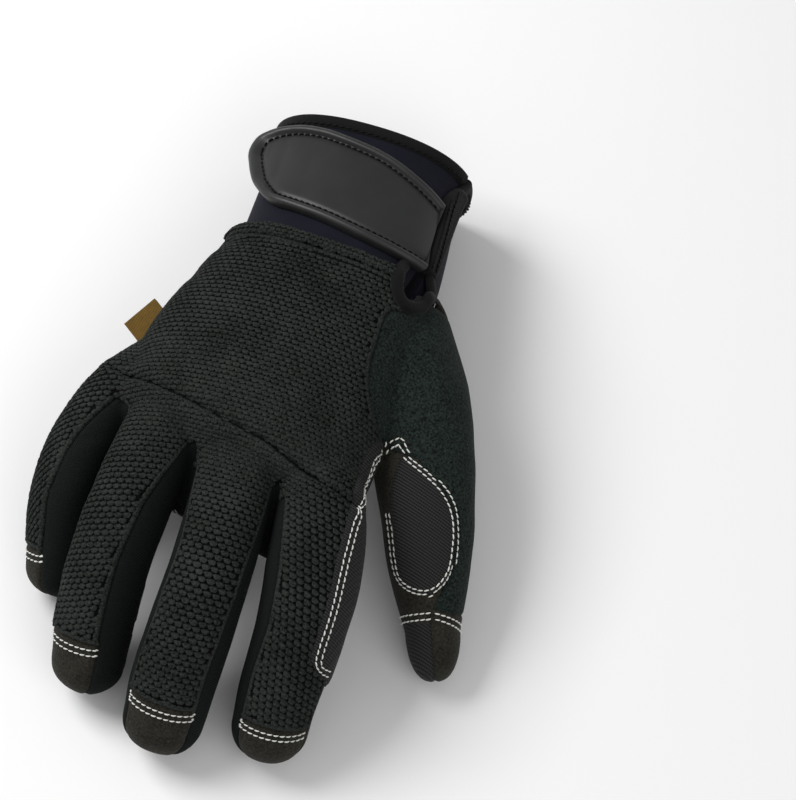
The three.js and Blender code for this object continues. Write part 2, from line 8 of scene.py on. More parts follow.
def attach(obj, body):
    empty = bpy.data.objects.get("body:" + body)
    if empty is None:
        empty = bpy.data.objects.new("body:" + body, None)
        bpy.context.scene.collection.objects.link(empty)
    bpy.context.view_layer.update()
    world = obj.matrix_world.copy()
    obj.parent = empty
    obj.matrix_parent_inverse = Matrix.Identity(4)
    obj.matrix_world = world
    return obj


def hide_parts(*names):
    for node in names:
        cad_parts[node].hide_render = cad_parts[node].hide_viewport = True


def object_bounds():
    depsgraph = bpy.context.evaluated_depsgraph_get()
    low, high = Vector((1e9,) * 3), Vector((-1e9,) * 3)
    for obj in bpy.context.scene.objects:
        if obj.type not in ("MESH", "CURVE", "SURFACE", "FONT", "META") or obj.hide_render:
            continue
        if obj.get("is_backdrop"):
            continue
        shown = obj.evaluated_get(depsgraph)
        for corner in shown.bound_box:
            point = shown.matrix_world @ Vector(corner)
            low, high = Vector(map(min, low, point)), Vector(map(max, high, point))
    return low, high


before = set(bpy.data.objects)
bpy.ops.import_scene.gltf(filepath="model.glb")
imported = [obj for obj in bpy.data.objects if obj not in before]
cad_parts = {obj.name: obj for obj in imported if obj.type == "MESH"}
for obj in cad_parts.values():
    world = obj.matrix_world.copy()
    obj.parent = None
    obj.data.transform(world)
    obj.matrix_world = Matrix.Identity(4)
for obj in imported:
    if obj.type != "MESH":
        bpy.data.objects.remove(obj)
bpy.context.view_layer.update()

# The filled form. The glove is sewn from flat panels and filled out, so every panel takes
# its shape from this one form: a palm, a thumb and four bent fingers, each a tube through
# oval sections. Millimetres; fingers towards -Y, thumb towards +X, back of the hand up.
voxel = 0.8
wall = 1.8
rest_height = 1.3
place = np.array([-2.9, 62.1, 0.0])

# Columns: x, y, z, half width, above, below, roll, arch, skew
limb_rows = {
    "palm": [
        (0, -3.2, 39.6, 38.8, 28.1, 27.6, 0, 0, -2.5), (-2.2, -16, 42, 41.3, 27.7, 27.5, 0, 1.2, -1.9),
        (-7, -38, 46.9, 44.3, 24.8, 24.7, 0, 4.2, -1.8), (-9.2, -60, 50.9, 45.5, 21, 20.7, 0, 7.6, -4.5),
        (-10.8, -80, 52.2, 45, 16.8, 17, 0, 9.8, -7.2), (-11.5, -91, 46.8, 40, 7.5, 13, 0, 8, -7.5),
        (-11.5, -101, 42.5, 35, 5, 9, 0, 7, -7.5),
    ],
    "pinky": [
        (-44, -50, 44, 9, 9, 8, -34, 0, 0), (-56, -71, 41, 12.2, 12.2, 11.5, -44, 0, 0),
        (-62.3, -90, 35, 12.8, 12, 11, -50, 0, 0), (-63.2, -104, 27.5, 12.4, 12, 10.5, -50, 0, 0),
        (-62, -116.6, 18.2, 12, 11.5, 10.5, -48, 0, 0), (-60.8, -125.2, 12, 11, 10.5, 10, -46, 0, 0),
    ],
    "ring": [
        (-29, -57, 50, 9, 9, 8, -10, 0, 0), (-34.5, -82, 51, 13.2, 13.2, 12.5, -16, 0, 0),
        (-37, -105, 46.5, 13.6, 13.2, 12.5, -20, 0, 0), (-38.8, -125, 37.5, 13.8, 13, 12, -20, 0, 0),
        (-39.1, -142, 24.2, 13.6, 13, 11.5, -20, 0, 0), (-38.5, -154, 13.2, 12.6, 12.2, 11.2, -18, 0, 0),
    ],
    "middle": [
        (-8, -64, 53, 9, 9, 8, 0, 0, 0), (-5.5, -90, 52.5, 13.6, 13.5, 12.5, 2, 0, 0),
        (-3.7, -117, 48, 14, 13.5, 12.5, 4, 0, 0), (-4.5, -138, 39, 14.4, 13.4, 12.2, 4, 0, 0),
        (-6.2, -154.5, 26, 14.6, 13.2, 12, 2, 0, 0), (-7, -166, 13.3, 13.8, 12.4, 11.2, 2, 0, 0),
    ],
    "index": [
        (15, -68, 51, 9, 9, 8, 6, 0, 0), (24, -90, 50, 14.5, 13.2, 12.5, 10, 0, 0),
        (28.2, -111, 45.5, 15.8, 13.2, 12.5, 12, 0, 0), (29.6, -130, 36.6, 14.6, 13, 12, 14, 0, 0),
        (28.6, -146, 24.6, 13.8, 12.8, 11.5, 12, 0, 0), (28.2, -157.5, 13.2, 13.1, 12.2, 11.2, 10, 0, 0),
    ],
    "thumb": [
        (14, 0, 37, 17, 17, 17, 0, 0, 0), (26, -18, 37, 21, 20.5, 19, 0, 0, 0),
        (39.5, -37, 36, 20, 19, 18, 0, 0, 0), (49.8, -56, 33.5, 18, 16, 16, 0, 0, 0),
        (57.2, -74, 29, 16.2, 14, 14.5, 0, 0, 0), (63.4, -91, 22.4, 14.2, 13, 13, 0, 0, 0),
        (70, -108, 13.8, 9.6, 12, 11.8, 0, 0, 0),
    ],
    "cuff": [
        (-4, 52.5, 25.4, 36.1, 26.4, 26.4, 0, 0, 0), (-3.8, 45, 27, 35.7, 26.7, 27, 0, 0, 0),
        (-3, 34, 29.8, 35.3, 26.8, 27.1, 0, 0, 0), (-1.7, 20, 33.6, 35.7, 26.6, 26.6, 0, 0, 0),
        (-0.5, 4, 37.5, 36.2, 26.8, 25, 0, 0, 0), (-0.5, -14, 41.2, 36.2, 25.6, 24, 0, 0, 0),
    ],
}
squareness = {"palm": 2.5, "thumb": 2.1, "cuff": 2.3}
tip_length = {"palm": 4, "pinky": 10.5, "ring": 12.5, "middle": 13, "index": 13.5, "thumb": 19, "cuff": 0}
upright = ("palm", "cuff")
finger_names = ("pinky", "ring", "middle", "index")
stations = np.linspace(0, 1, 241)


def smooth_curve(points, at):
    """Points on a soft curve through the given points, at from 0 to 1."""
    p = np.asarray(points, float)
    ends = np.vstack([2 * p[0] - p[1], p, 2 * p[-1] - p[-2]])
    parts = []
    for a, b, c, d in zip(ends, ends[1:], ends[2:], ends[3:]):
        near, mid, far = (math.sqrt(np.linalg.norm(v)) for v in (b - a, c - b, d - c))
        mid = mid if mid > 1e-4 else 1.0
        near = near if near > 1e-4 else mid
        far = far if far > 1e-4 else mid
        start = ((b - a) / near - (c - a) / (near + mid) + (c - b) / mid) * mid
        stop = ((c - b) / mid - (d - b) / (mid + far) + (d - c) / far) * mid
        parts.append((b, start, -3 * b + 3 * c - 2 * start - stop, 2 * b - 2 * c + start + stop))
    parts = np.array(parts)
    at = np.clip(np.asarray(at, float), 0, 1) * (len(p) - 1)
    which = np.minimum(at.astype(int), len(p) - 2)
    w = (at - which)[..., None]
    c0, c1, c2, c3 = (parts[which, k] for k in range(4))
    return c0 + w * (c1 + w * (c2 + w * c3))


def along_curve(points, count):
    """Even points on a soft curve through a few."""
    return smooth_curve(points, np.linspace(0, 1, count))


def unit(vectors):
    """The same directions, each of length one."""
    return vectors / np.linalg.norm(vectors, axis=1)[:, None]


def run_along(points):
    """How far each point lies from the first, along the line of points."""
    return np.concatenate([[0], np.cumsum(np.linalg.norm(np.diff(points, axis=0), axis=1))])


class Limb:
    """One tube of the form, sampled along its length."""

    def __init__(self, name):
        rows = np.array(limb_rows[name], float)
        self.power = 2 / squareness.get(name, 2.2)
        self.tip = tip_length[name]
        self.middle = smooth_curve(rows[:, :3], stations)
        self.size = smooth_curve(rows[:, 3:6], stations)
        turn = smooth_curve(rows[:, 6:9], stations)
        self.bend = turn[:, 1:]
        ahead = smooth_curve(rows[:, :3], np.minimum(stations + 0.01, 1))
        behind = smooth_curve(rows[:, :3], np.maximum(stations - 0.01, 0))
        along = unit(ahead - behind)
        if name in upright:
            along = np.tile([0.0, -1.0, 0.0], (len(stations), 1))
        side = unit(np.cross([0, 0, 1], along))
        up = np.cross(along, side)
        roll = np.radians(turn[:, :1])
        self.along = along
        self.side = side * np.cos(roll) - up * np.sin(roll)
        self.up = up * np.cos(roll) + side * np.sin(roll)
        self.length = run_along(self.middle)

    def at(self, values, t):
        return np.stack([np.interp(t, stations, values[:, k]) for k in range(values.shape[1])], -1)

    def surface(self, t, degrees, grow=0.0, forward=0.0, shrink=1.0):
        """Point on the section at t, 0 degrees on the back and 90 towards the thumb."""
        t, degrees, grow, forward, shrink = np.broadcast_arrays(t, degrees, grow, forward, shrink)
        a = np.radians(degrees)
        across = np.sign(np.sin(a)) * np.abs(np.sin(a)) ** self.power
        over = np.sign(np.cos(a)) * np.abs(np.cos(a)) ** self.power
        size, bend = self.at(self.size, t), self.at(self.bend, t)
        height = np.where(over > 0, size[..., 1], size[..., 2])
        p = self.at(self.middle, t) + self.at(self.along, t) * forward[..., None]
        p = p + self.at(self.side, t) * (across * (size[..., 0] + grow) * shrink)[..., None]
        p = p + self.at(self.up, t) * (over * (height + grow) * shrink)[..., None]
        p[..., 2] -= bend[..., 0] * across ** 2 * shrink
        p[..., 1] += bend[..., 1] * across * shrink
        return p


limbs = {name: Limb(name) for name in limb_rows}


def new_object(name, data):
    """An object in the scene for a mesh, a light or a camera."""
    obj = bpy.data.objects.new(name, data)
    bpy.context.scene.collection.objects.link(obj)
    return obj


def as_mesh(name, points, faces):
    """Mesh object in millimetres, its faces turned outwards."""
    mesh = bpy.data.meshes.new(name)
    mesh.from_pydata([tuple(p) for p in points], [], faces)
    mesh.update()
    p = np.asarray(points, float)
    volume = 0.0
    for f in faces:
        for i in range(1, len(f) - 1):
            volume += np.dot(p[f[0]], np.cross(p[f[i]], p[f[i + 1]]))
    if volume < 0:
        mesh.flip_normals()
    return new_object(name, mesh)


def lofted(name, rings):
    """Closed body through rings of points, with a fan over each end."""
    rings = np.asarray(rings, float)
    count, around = rings.shape[:2]
    points = np.vstack([rings.reshape(-1, 3), rings[0].mean(0), rings[-1].mean(0)])
    faces = []
    for low in np.arange(count - 1) * around:
        high = low + around
        faces += [(low + i, high + i, high + (i + 1) % around, low + (i + 1) % around) for i in range(around)]
    first, last = count * around, (count - 1) * around
    faces += [(first, i, (i + 1) % around) for i in range(around)]
    faces += [(first + 1, last + (i + 1) % around, last + i) for i in range(around)]
    return as_mesh(name, points, faces)


tip_bulge = 0.93


def tube(name, grow, around=72, spacing=1.6, before=0.0, after=0.0):
    """A whole limb grown outwards, with its round tip."""
    limb = limbs[name]
    angles = np.arange(around) * 360 / around
    count = max(2, int(limb.length[-1] / spacing))
    rings = []
    for i, t in enumerate(np.linspace(0, 1, count + 1)):
        shift = -before if i == 0 else after if i == count else 0
        rings.append(limb.surface(t, angles, grow, shift))
    if limb.tip:
        blunt = 0.8 if name == "thumb" else 1.0
        for bend in np.radians(np.arange(8, 90, 9)):
            forward = (limb.tip + grow) * tip_bulge * math.sin(bend)
            rings.append(limb.surface(1, angles, grow, forward, math.cos(bend) ** blunt))
    return lofted(name, rings)


def evaluated(obj):
    """The object's mesh with its modifiers applied, the modifiers then removed."""
    bpy.context.view_layer.update()
    graph = bpy.context.evaluated_depsgraph_get()
    mesh = bpy.data.meshes.new_from_object(obj.evaluated_get(graph))
    obj.modifiers.clear()
    old, obj.data = obj.data, mesh
    bpy.data.meshes.remove(old)
    return obj


def copied(obj, name):
    return new_object(name, obj.data.copy())


def removed(*objs):
    for obj in objs:
        mesh = obj.data
        bpy.data.objects.remove(obj)
        bpy.data.meshes.remove(mesh)


def worked(base, *steps, name=None, keep=True):
    """A copy of a body with other bodies joined to it, cut from it or kept of it."""
    made = copied(base, name or base.name)
    for kind, tool in steps:
        m = made.modifiers.new("cut", "BOOLEAN")
        m.solver, m.operation, m.object = "MANIFOLD", kind, tool
    evaluated(made)
    if not keep:
        removed(base)
    return made


def merged(objs, name):
    """Separate bodies put in one object, not yet joined."""
    points, faces, start = [], [], 0
    for obj in objs:
        points += [tuple(v.co) for v in obj.data.vertices]
        faces += [tuple(i + start for i in p.vertices) for p in obj.data.polygons]
        start = len(points)
    removed(*objs)
    return as_mesh(name, points, faces)


def values_of(items, name, width=3, kind=float):
    """One property of all vertices, edges or faces, a row for each."""
    values = np.empty(len(items) * width, kind)
    items.foreach_get(name, values)
    return values.reshape(-1, width)


def co_of(mesh):
    return values_of(mesh.vertices, "co")


def normals_of(mesh):
    return values_of(mesh.vertices, "normal")


def set_co(mesh, co):
    mesh.vertices.foreach_set("co", np.ascontiguousarray(co).ravel())
    mesh.update()


def filled_form(name, grow, cell, rounds, before=0.0):
    """Palm, thumb and fingers run together, with soft webs between them."""
    parts = [tube("palm", grow, before=before)] + [tube(n, grow) for n in ("thumb",) + finger_names]
    form = merged(parts, name)
    m = form.modifiers.new("one skin", "REMESH")
    m.mode, m.voxel_size, m.adaptivity = "VOXEL", cell, 0
    m = form.modifiers.new("soft webs", "SMOOTH")
    m.factor, m.iterations = 0.5, rounds
    return evaluated(form)


def plan_distance(points, line):
    """Distance in plan from points to a line of points."""
    line = np.asarray(line, float)
    best = np.full(len(points), 1e9)
    for a, b in zip(line, line[1:]):
        d = b - a
        s = np.clip(((points - a) @ d) / (d @ d), 0, 1)
        best = np.minimum(best, np.linalg.norm(points - a - s[:, None] * d, axis=1))
    return best


def near_tree(points):
    """A tree that finds the nearest of some points."""
    tree = kdtree.KDTree(len(points))
    for i, p in enumerate(points):
        tree.insert(p, i)
    tree.balance()
    return tree


def skin_tree(mesh):
    """A tree that finds the nearest spot on a mesh's faces."""
    return BVHTree.FromPolygons(co_of(mesh).tolist(), [tuple(p.vertices) for p in mesh.polygons])


# Stitched crease across the knuckles, the fold where wrist and hand meet, and the soft
# dents of a filled glove. Columns of a dent: x, y, half length, half width, depth, turn
knuckle_line = [(-60, -64), (-50, -67), (-36, -71.5), (-14, -77.5), (2, -80.5), (21, -86), (39, -90)]
crease_depth, crease_half = 1.5, 1.3
welt_height, welt_half, welt_from_crease = 0.5, 1.8, 3.4
swell_height, swell_width = 0.35, 13
back_dents = [
    (-40, -9, 22, 2.6, 0.7, 6), (-20, -12, 16, 2.2, 0.6, -4), (-48, -20, 14, 3, 0.7, -38),
    (8, -26, 20, 5, 0.7, -62), (-30, -40, 24, 6, 0.8, 70), (-8, -48, 22, 5, 0.6, 82),
    (20, -62, 18, 4, 0.7, -70), (-47, -56, 12, 4, 0.6, 30), (-36, -100, 9, 1.6, 0.5, 4),
    (-4, -112, 10, 1.8, 0.5, 2), (29, -108, 10, 1.8, 0.5, -4), (-62, -92, 8, 1.6, 0.4, 30),
    (-39, -128, 9, 1.8, 0.5, -3), (-5, -140, 9, 1.8, 0.5, 3), (29, -134, 9, 1.8, 0.5, -2),
]
form = filled_form("form", grow=0, cell=voxel, rounds=10)
spots = co_of(form.data)
outward = normals_of(form.data)
facing_up = np.clip(outward[:, 2] * 2, 0, 1)
line_gap = plan_distance(spots[:, :2], knuckle_line)
depth = crease_depth * np.exp(-(line_gap / crease_half) ** 2)
depth -= welt_height * np.exp(-((line_gap - welt_from_crease) / welt_half) ** 2)
for x, y, long, wide, deep, turn in back_dents:
    c, s = math.cos(math.radians(turn)), math.sin(math.radians(turn))
    u = (spots[:, 0] - x) * c + (spots[:, 1] - y) * s
    v = -(spots[:, 0] - x) * s + (spots[:, 1] - y) * c
    depth += deep * np.exp(-(u / long) ** 2 - (v / wide) ** 2)
unevenness = np.array([noise.noise(Vector(p) / swell_width) for p in spots]) * swell_height
spots = spots - outward * (depth * facing_up + unevenness)[:, None]
spots[:, 2] = np.maximum(spots[:, 2], rest_height)
set_co(form.data, spots)

cuff_room = tube("cuff", 0.3, after=0.3)
hollow = filled_form("hollow", grow=-wall, cell=voxel * 2, rounds=3, before=8)
inner_spots = co_of(hollow.data)
inner_spots[:, 2] = np.maximum(inner_spots[:, 2], rest_height + wall)
set_co(hollow.data, inner_spots)
shell = worked(form, ("DIFFERENCE", hollow), ("DIFFERENCE", cuff_room), name="shell")

form_points = co_of(form.data)
form_normals = normals_of(form.data)
form_tree = skin_tree(form.data)
form_near = near_tree(form_points)


def form_normal(p):
    """The way the form faces at its point nearest to p."""
    return form_normals[form_near.find(p)[1]]


# Side walls: smooth stretch knit on the facing sides of neighbouring fingers, one strip
# from tip to tip through each web. Their seams are wedges cut out of the form.
# Columns of a seam: station along the finger, from angle, to angle
thumb_side_walls = {
    "pinky": [(0.2, 62, 125), (0.4, 42, 122), (0.6, 28, 120), (1, 22, 120)],
    "ring": [(0.2, 76, 125), (0.4, 50, 122), (0.6, 42, 120), (1, 38, 120)],
    "middle": [(0.2, 72, 125), (0.4, 56, 122), (1, 52, 120)],
}
outer_side_walls = {
    "ring": [(0.2, -125, -70), (0.4, -122, -58), (1, -120, -56)],
    "middle": [(0.2, -125, -70), (0.4, -122, -58), (1, -120, -54)],
    "index": [(0.2, -125, -62), (0.4, -122, -50), (1, -120, -50)],
}


def wedge(name, spans, reach=2.5, past=0.0):
    """Slice of a limb between two angles and two stations, from its axis outwards."""
    limb = limbs[name]
    spans = np.array(spans, float)
    first, last = spans[0, 0], spans[-1, 0]
    rings = []

    def slice_at(t, forward):
        start, stop = (np.interp(t, spans[:, 0], spans[:, k]) for k in (1, 2))
        arc = limb.surface(t, np.linspace(start, stop, 16), reach, forward)
        axis = limb.at(limb.middle, np.array([t])) + limb.at(limb.along, np.array([t])) * forward
        return np.vstack([axis, arc])

    if past:
        rings.append(slice_at(first, -past))
    for t in np.linspace(first, last, max(3, int((last - first) * 40))):
        rings.append(slice_at(t, 0))
    if last >= 1:
        rings.append(slice_at(1, limb.tip + reach + past))
    return lofted("wedge_" + name, rings)


def joined(bodies, name):
    first, rest = bodies[0], bodies[1:]
    made = worked(first, *[("UNION", b) for b in rest], name=name)
    removed(*bodies)
    return made


bridge_middle, bridge_half = 112, 14


def web_wall(a, b):
    """Both facing seams of two neighbouring fingers, and the bridge through their web."""
    pieces = []
    for name, spans, side in ((a, thumb_side_walls[a], 1), (b, outer_side_walls[b], -1)):
        middle = side * bridge_middle
        bridge = [(t, middle - bridge_half, middle + bridge_half) for t in (0.2, 0.4)]
        pieces += [wedge(name, spans), wedge(name, bridge, reach=6)]
    return joined(pieces, "web")


def part_of(mesh, kept, name):
    """A new mesh of the kept vertices and the faces between them."""
    number = np.cumsum(kept) - 1
    faces = [tuple(number[i] for i in p.vertices)
             for p in mesh.polygons if all(kept[i] for i in p.vertices)]
    part = bpy.data.meshes.new(name)
    part.from_pydata(co_of(mesh)[kept].tolist(), [], faces)
    return part


def largest(obj):
    """Keeps only the biggest loose part of a body."""
    mesh = obj.data
    owner = np.arange(len(mesh.vertices))
    edges = values_of(mesh.edges, "vertices", 2, int)
    before = None
    while before is None or (owner != before).any():
        low = np.minimum(owner[edges[:, 0]], owner[edges[:, 1]])
        before = owner.copy()
        np.minimum.at(owner, edges[:, 0], low)
        np.minimum.at(owner, edges[:, 1], low)
        owner = owner[owner]
    names, counts = np.unique(owner, return_counts=True)
    if len(names) > 1:
        obj.data = part_of(mesh, owner == names[counts.argmax()], obj.name)
        bpy.data.meshes.remove(mesh)
    return obj


def rim_edges(mesh, on_top):
    """Pairs of vertices along the rim of a panel's outer face."""
    sides = {}
    for p in mesh.polygons:
        outer = all(on_top[i] for i in p.vertices)
        for key in p.edge_keys:
            sides.setdefault(key, []).append(outer)
    return [key for key, outer in sides.items() if len(outer) == 2 and outer[0] != outer[1]]


def rim_points(mesh, on_top):
    """Points along the rim, half a cell apart."""
    co = co_of(mesh)
    return np.array([p for a, b in rim_edges(mesh, on_top) for p in (co[a], (co[a] + co[b]) / 2)])


skin_gap = 0.03


def on_skin(tree, points):
    """Which of the points lie on an outer skin."""
    return np.array([tree.find_nearest(p)[3] for p in points]) < skin_gap


def tucked(obj, depth=0.7, reach=1.6, lift=0.0, skin=form_tree):
    """Turns a panel's outer edges down into the seam, as a sewn edge does."""
    mesh = obj.data
    co = co_of(mesh)
    on_top = on_skin(skin, co)
    rim = rim_points(mesh, on_top)
    if len(rim):
        tree = near_tree(rim)
        for i in np.nonzero(on_top)[0]:
            s = max(0.0, 1 - tree.find(co[i])[2] / reach)
            co[i] += form_normal(co[i]) * (lift * (1 - s ** 4) - (depth + lift) * s * s)
        set_co(mesh, co)
    return rim


def fill(node, inputs):
    """Links shades to a node's inputs and sets plain values on its others."""
    for key, value in inputs.items():
        if isinstance(value, Shade):
            value.tree.links.new(value.socket, node.inputs[key])
        else:
            node.inputs[key].default_value = value


def tone(code):
    """A colour code as the shader's linear colour."""
    parts = [int(code[i:i + 2], 16) / 255 for i in (0, 2, 4)]
    return (*(c / 12.92 if c <= 0.04045 else ((c + 0.055) / 1.055) ** 2.4 for c in parts), 1)


class Shade:
    """A value in a shader that adds and multiplies like a number."""

    def __init__(self, tree, socket):
        self.tree, self.socket = tree, socket

    def node(self, kind, inputs, out=0, **settings):
        made = self.tree.nodes.new(kind)
        for key, value in settings.items():
            setattr(made, key, value)
        fill(made, inputs)
        return Shade(self.tree, made.outputs[out])

    def math(self, kind, *values):
        return self.node("ShaderNodeMath", dict(enumerate(values)), operation=kind)

    def __add__(self, other): return self.math("ADD", self, other)
    def __radd__(self, other): return self.math("ADD", other, self)
    def __sub__(self, other): return self.math("SUBTRACT", self, other)
    def __rsub__(self, other): return self.math("SUBTRACT", other, self)
    def __mul__(self, other): return self.math("MULTIPLY", self, other)
    def __rmul__(self, other): return self.math("MULTIPLY", other, self)

    def speckle(self, size_mm, detail=2.0):
        """Soft grains of this size, from a place on the cloth."""
        return self.node("ShaderNodeTexNoise", {
            "Vector": self, "Scale": 1000 / size_mm, "Detail": detail, "Roughness": 0.6}, "Fac")

    def waves(self, way, pitch_mm):
        """Even waves that follow one another along a way, from -1 to 1."""
        along = self.node("ShaderNodeVectorMath", {0: self, 1: way}, "Value", operation="DOT_PRODUCT")
        turns = along * (2 * math.pi * 1000 / pitch_mm)
        return turns.math("SINE", turns)

    def toned(self, dark, light):
        """Colour between two tones by this value."""
        return self.node("ShaderNodeMix", {0: self, 6: tone(dark), 7: tone(light)}, 2, data_type="RGBA")


def cloth(name):
    """A new material and its place on the object, in metres."""
    made = bpy.data.materials.new(name)
    made.use_nodes = True
    where = made.node_tree.nodes.new("ShaderNodeTexCoord")
    return made, Shade(made.node_tree, where.outputs["Object"])


def finished(colour, relief, depth_mm, rough, sheen=0.0, specular=0.12):
    """Gives the material its colour, its relief and its shine."""
    bump = colour.node("ShaderNodeBump", {"Distance": depth_mm / 1000, "Height": relief}, "Normal")
    fill(colour.tree.nodes["Principled BSDF"], {
        "Base Color": colour, "Roughness": rough, "Normal": bump, "Sheen Weight": sheen,
        "Sheen Roughness": 0.45, "Specular IOR Level": specular})


smooth_knit, where = cloth("smooth stretch knit")
rib = where.waves((0.75, 1, 0.5), 0.95)
fuzz = where.speckle(0.5)
finished((rib * 0.22 + fuzz * 1.1 - 0.1).toned("050706", "1b201e"), rib * 0.35 + fuzz * 0.9, 0.22, 0.92)


sharp_edge = math.radians(58)


def sewn_in(obj, name, material, node, flat=None, share=0.9):
    """A finished panel in metres at its place; the size it was cut to, in millimetres, is worked out but not
    kept.
    """
    mesh = obj.data
    set_co(mesh, (co_of(mesh) + place) * 0.001)
    mesh.materials.clear()
    mesh.materials.append(material)
    mesh.polygons.foreach_set("material_index", [0] * len(mesh.polygons))
    mesh.polygons.foreach_set("use_smooth", [True] * len(mesh.polygons))
    mesh.set_sharp_from_angle(angle=sharp_edge)
    obj.name = mesh.name = name
    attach(obj, "root")
    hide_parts(node)
    if flat:
        width, length = flat[0] / 1000, flat[1] / 1000
        width * length * share
    return obj


web_tools = []
for a, b in zip(finger_names, finger_names[1:]):
    web_tools.append(web_wall(a, b))
    strip = largest(worked(shell, ("INTERSECT", web_tools[-1])))
    tucked(strip, depth=0.5)
    wall_name = f"side_wall_{a}_{b}"
    sewn_in(strip, wall_name + "_knit", smooth_knit, wall_name, (26, 160), 0.73)
web_tools = joined(web_tools, "webs")
rest = worked(shell, ("DIFFERENCE", web_tools), name="rest", keep=False)


# Fingertip caps: synthetic suede over the ends of the fingers, let into the knitted back
# with a double row of white thread just below the seam.
suede, where = cloth("synthetic suede")
nap = where.speckle(0.8, 3)
patches = where.speckle(7, 2)
finished((nap * 2.0 + patches * 0.6 - 0.8).toned("0c0c0a", "35332c"), nap + patches * 0.3, 0.35, 0.95,
         sheen=0.05)

white_thread, where = cloth("white thread")
ply = where.waves((1, 0.6, 0.8), 0.35) * 0.5 + 0.5
finished((ply * 0.5 + where.speckle(0.6) * 0.5).toned("b9b9b4", "f2f2ec"), ply, 0.03, 0.6)
black_thread, where = cloth("black thread")
finished(where.speckle(0.5).toned("030303", "101112"), where.speckle(0.3), 0.03, 0.55)

stitch_pitch = 2.25


def stitch_shape(name, length, thick):
    """One stitch in metres: a short length of thread with its ends pulled into the cloth."""
    rings, around = [], 6
    turn = np.arange(around) * 2 * math.pi / around
    for k in range(7):
        s = -1 + k / 3
        girth = thick / 2 * max(0.12, 1 - abs(s) ** 3) ** 0.5
        height = thick * 0.42 * (1 - 1.1 * s * s)
        x, y, z = np.full(around, s * length / 2), girth * np.cos(turn), height + girth * np.sin(turn)
        rings.append(np.c_[x, y, z] * 0.001)
    return lofted(name, rings)


white_stitch = stitch_shape("white stitch", 1.85, 0.55)
black_stitch = stitch_shape("black stitch", 2.0, 0.65)


def laid(name, spots, normals, ways, shape, finish, vary=0.05):
    """Geometry Nodes lay one shape on every spot: its X along the way, its Z along the normal."""
    mesh = bpy.data.meshes.new(name)
    mesh.from_pydata(((np.asarray(spots) + place) * 0.001).tolist(), [], [])
    for label, vectors in (("up", normals), ("way", ways)):
        layer = mesh.attributes.new(label, "FLOAT_VECTOR", "POINT")
        layer.data.foreach_set("vector", np.asarray(vectors, float).ravel())
    obj = new_object(name, mesh)
    tree = bpy.data.node_groups.new(name + " rows", "GeometryNodeTree")
    sockets = {}
    for label, kind in (("Spots", "Geometry"), ("Shape", "Object"), ("Smallest", "Float"),
                        ("Largest", "Float"), ("Seed", "Int"), ("Finish", "Material")):
        sockets[label] = tree.interface.new_socket(label, in_out="INPUT", socket_type="NodeSocket" + kind)
    tree.interface.new_socket("Laid", in_out="OUTPUT", socket_type="NodeSocketGeometry")
    add, link = tree.nodes.new, tree.links.new
    given, made = add("NodeGroupInput"), add("NodeGroupOutput")
    info = add("GeometryNodeObjectInfo")
    link(given.outputs["Shape"], info.inputs["Object"])
    turn = add("FunctionNodeAxesToRotation")
    turn.primary_axis, turn.secondary_axis = "Z", "X"
    for label, target in (("up", 0), ("way", 1)):
        read = add("GeometryNodeInputNamedAttribute")
        read.data_type = "FLOAT_VECTOR"
        read.inputs["Name"].default_value = label
        link(read.outputs["Attribute"], turn.inputs[target])
    size = add("FunctionNodeRandomValue")
    size.data_type = "FLOAT"
    link(given.outputs["Smallest"], size.inputs[2])
    link(given.outputs["Largest"], size.inputs[3])
    link(given.outputs["Seed"], size.inputs["Seed"])
    place_each = add("GeometryNodeInstanceOnPoints")
    link(given.outputs["Spots"], place_each.inputs["Points"])
    link(info.outputs["Geometry"], place_each.inputs["Instance"])
    link(turn.outputs["Rotation"], place_each.inputs["Rotation"])
    link(size.outputs[1], place_each.inputs["Scale"])
    real, dressed = add("GeometryNodeRealizeInstances"), add("GeometryNodeSetMaterial")
    link(place_each.outputs["Instances"], real.inputs["Geometry"])
    link(real.outputs["Geometry"], dressed.inputs["Geometry"])
    link(given.outputs["Finish"], dressed.inputs["Material"])
    link(dressed.outputs["Geometry"], made.inputs["Laid"])
    m = obj.modifiers.new("rows", "NODES")
    m.node_group = tree
    settings = {"Shape": shape, "Smallest": 1 - vary, "Largest": 1 + vary, "Seed": 7, "Finish": finish}
    for label, value in settings.items():
        m[sockets[label].identifier] = value
    evaluated(obj)
    obj.data.polygons.foreach_set("use_smooth", [True] * len(obj.data.polygons))
    obj.data.name = name
    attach(obj, "root")
    return obj


def skin_of(*objs):
    """The faces of finished pieces in millimetres, to lay stitches on."""
    points, faces, start = [], [], 0
    for obj in objs:
        points += (co_of(obj.data) * 1000 - place).tolist()
        faces += [tuple(i + start for i in p.vertices) for p in obj.data.polygons]
        start = len(points)
    return BVHTree.FromPolygons(points, faces)


def soft_average(values, width):
    """Rows of values evened out along the line."""
    kernel = np.exp(-(np.arange(-3 * width, 3 * width + 1) / width) ** 2 / 2)
    kernel /= kernel.sum()
    padded = np.pad(values, ((3 * width, 3 * width), (0, 0)), mode="edge")
    return np.stack([np.convolve(padded[:, k], kernel, "valid") for k in range(values.shape[1])], -1)


def walked(row, pitch=stitch_pitch, closed=False):
    """Points along a row of points, an even distance apart, with the way it goes."""
    row = np.asarray(row, float)
    if closed:
        row = np.vstack([row, row[:1]])
    run = run_along(row)
    count = max(1, round(run[-1] / pitch))
    at = (np.arange(count) + 0.5) * run[-1] / count
    reach = 0.4

    def point(s):
        return np.stack([np.interp(s, run, row[:, k]) for k in range(3)], -1)

    return point(at), unit(point(np.minimum(at + reach, run[-1])) - point(np.maximum(at - reach, 0)))


slant = math.radians(7)
farthest, deepest_crease = 6, 1.5
fewest = 8


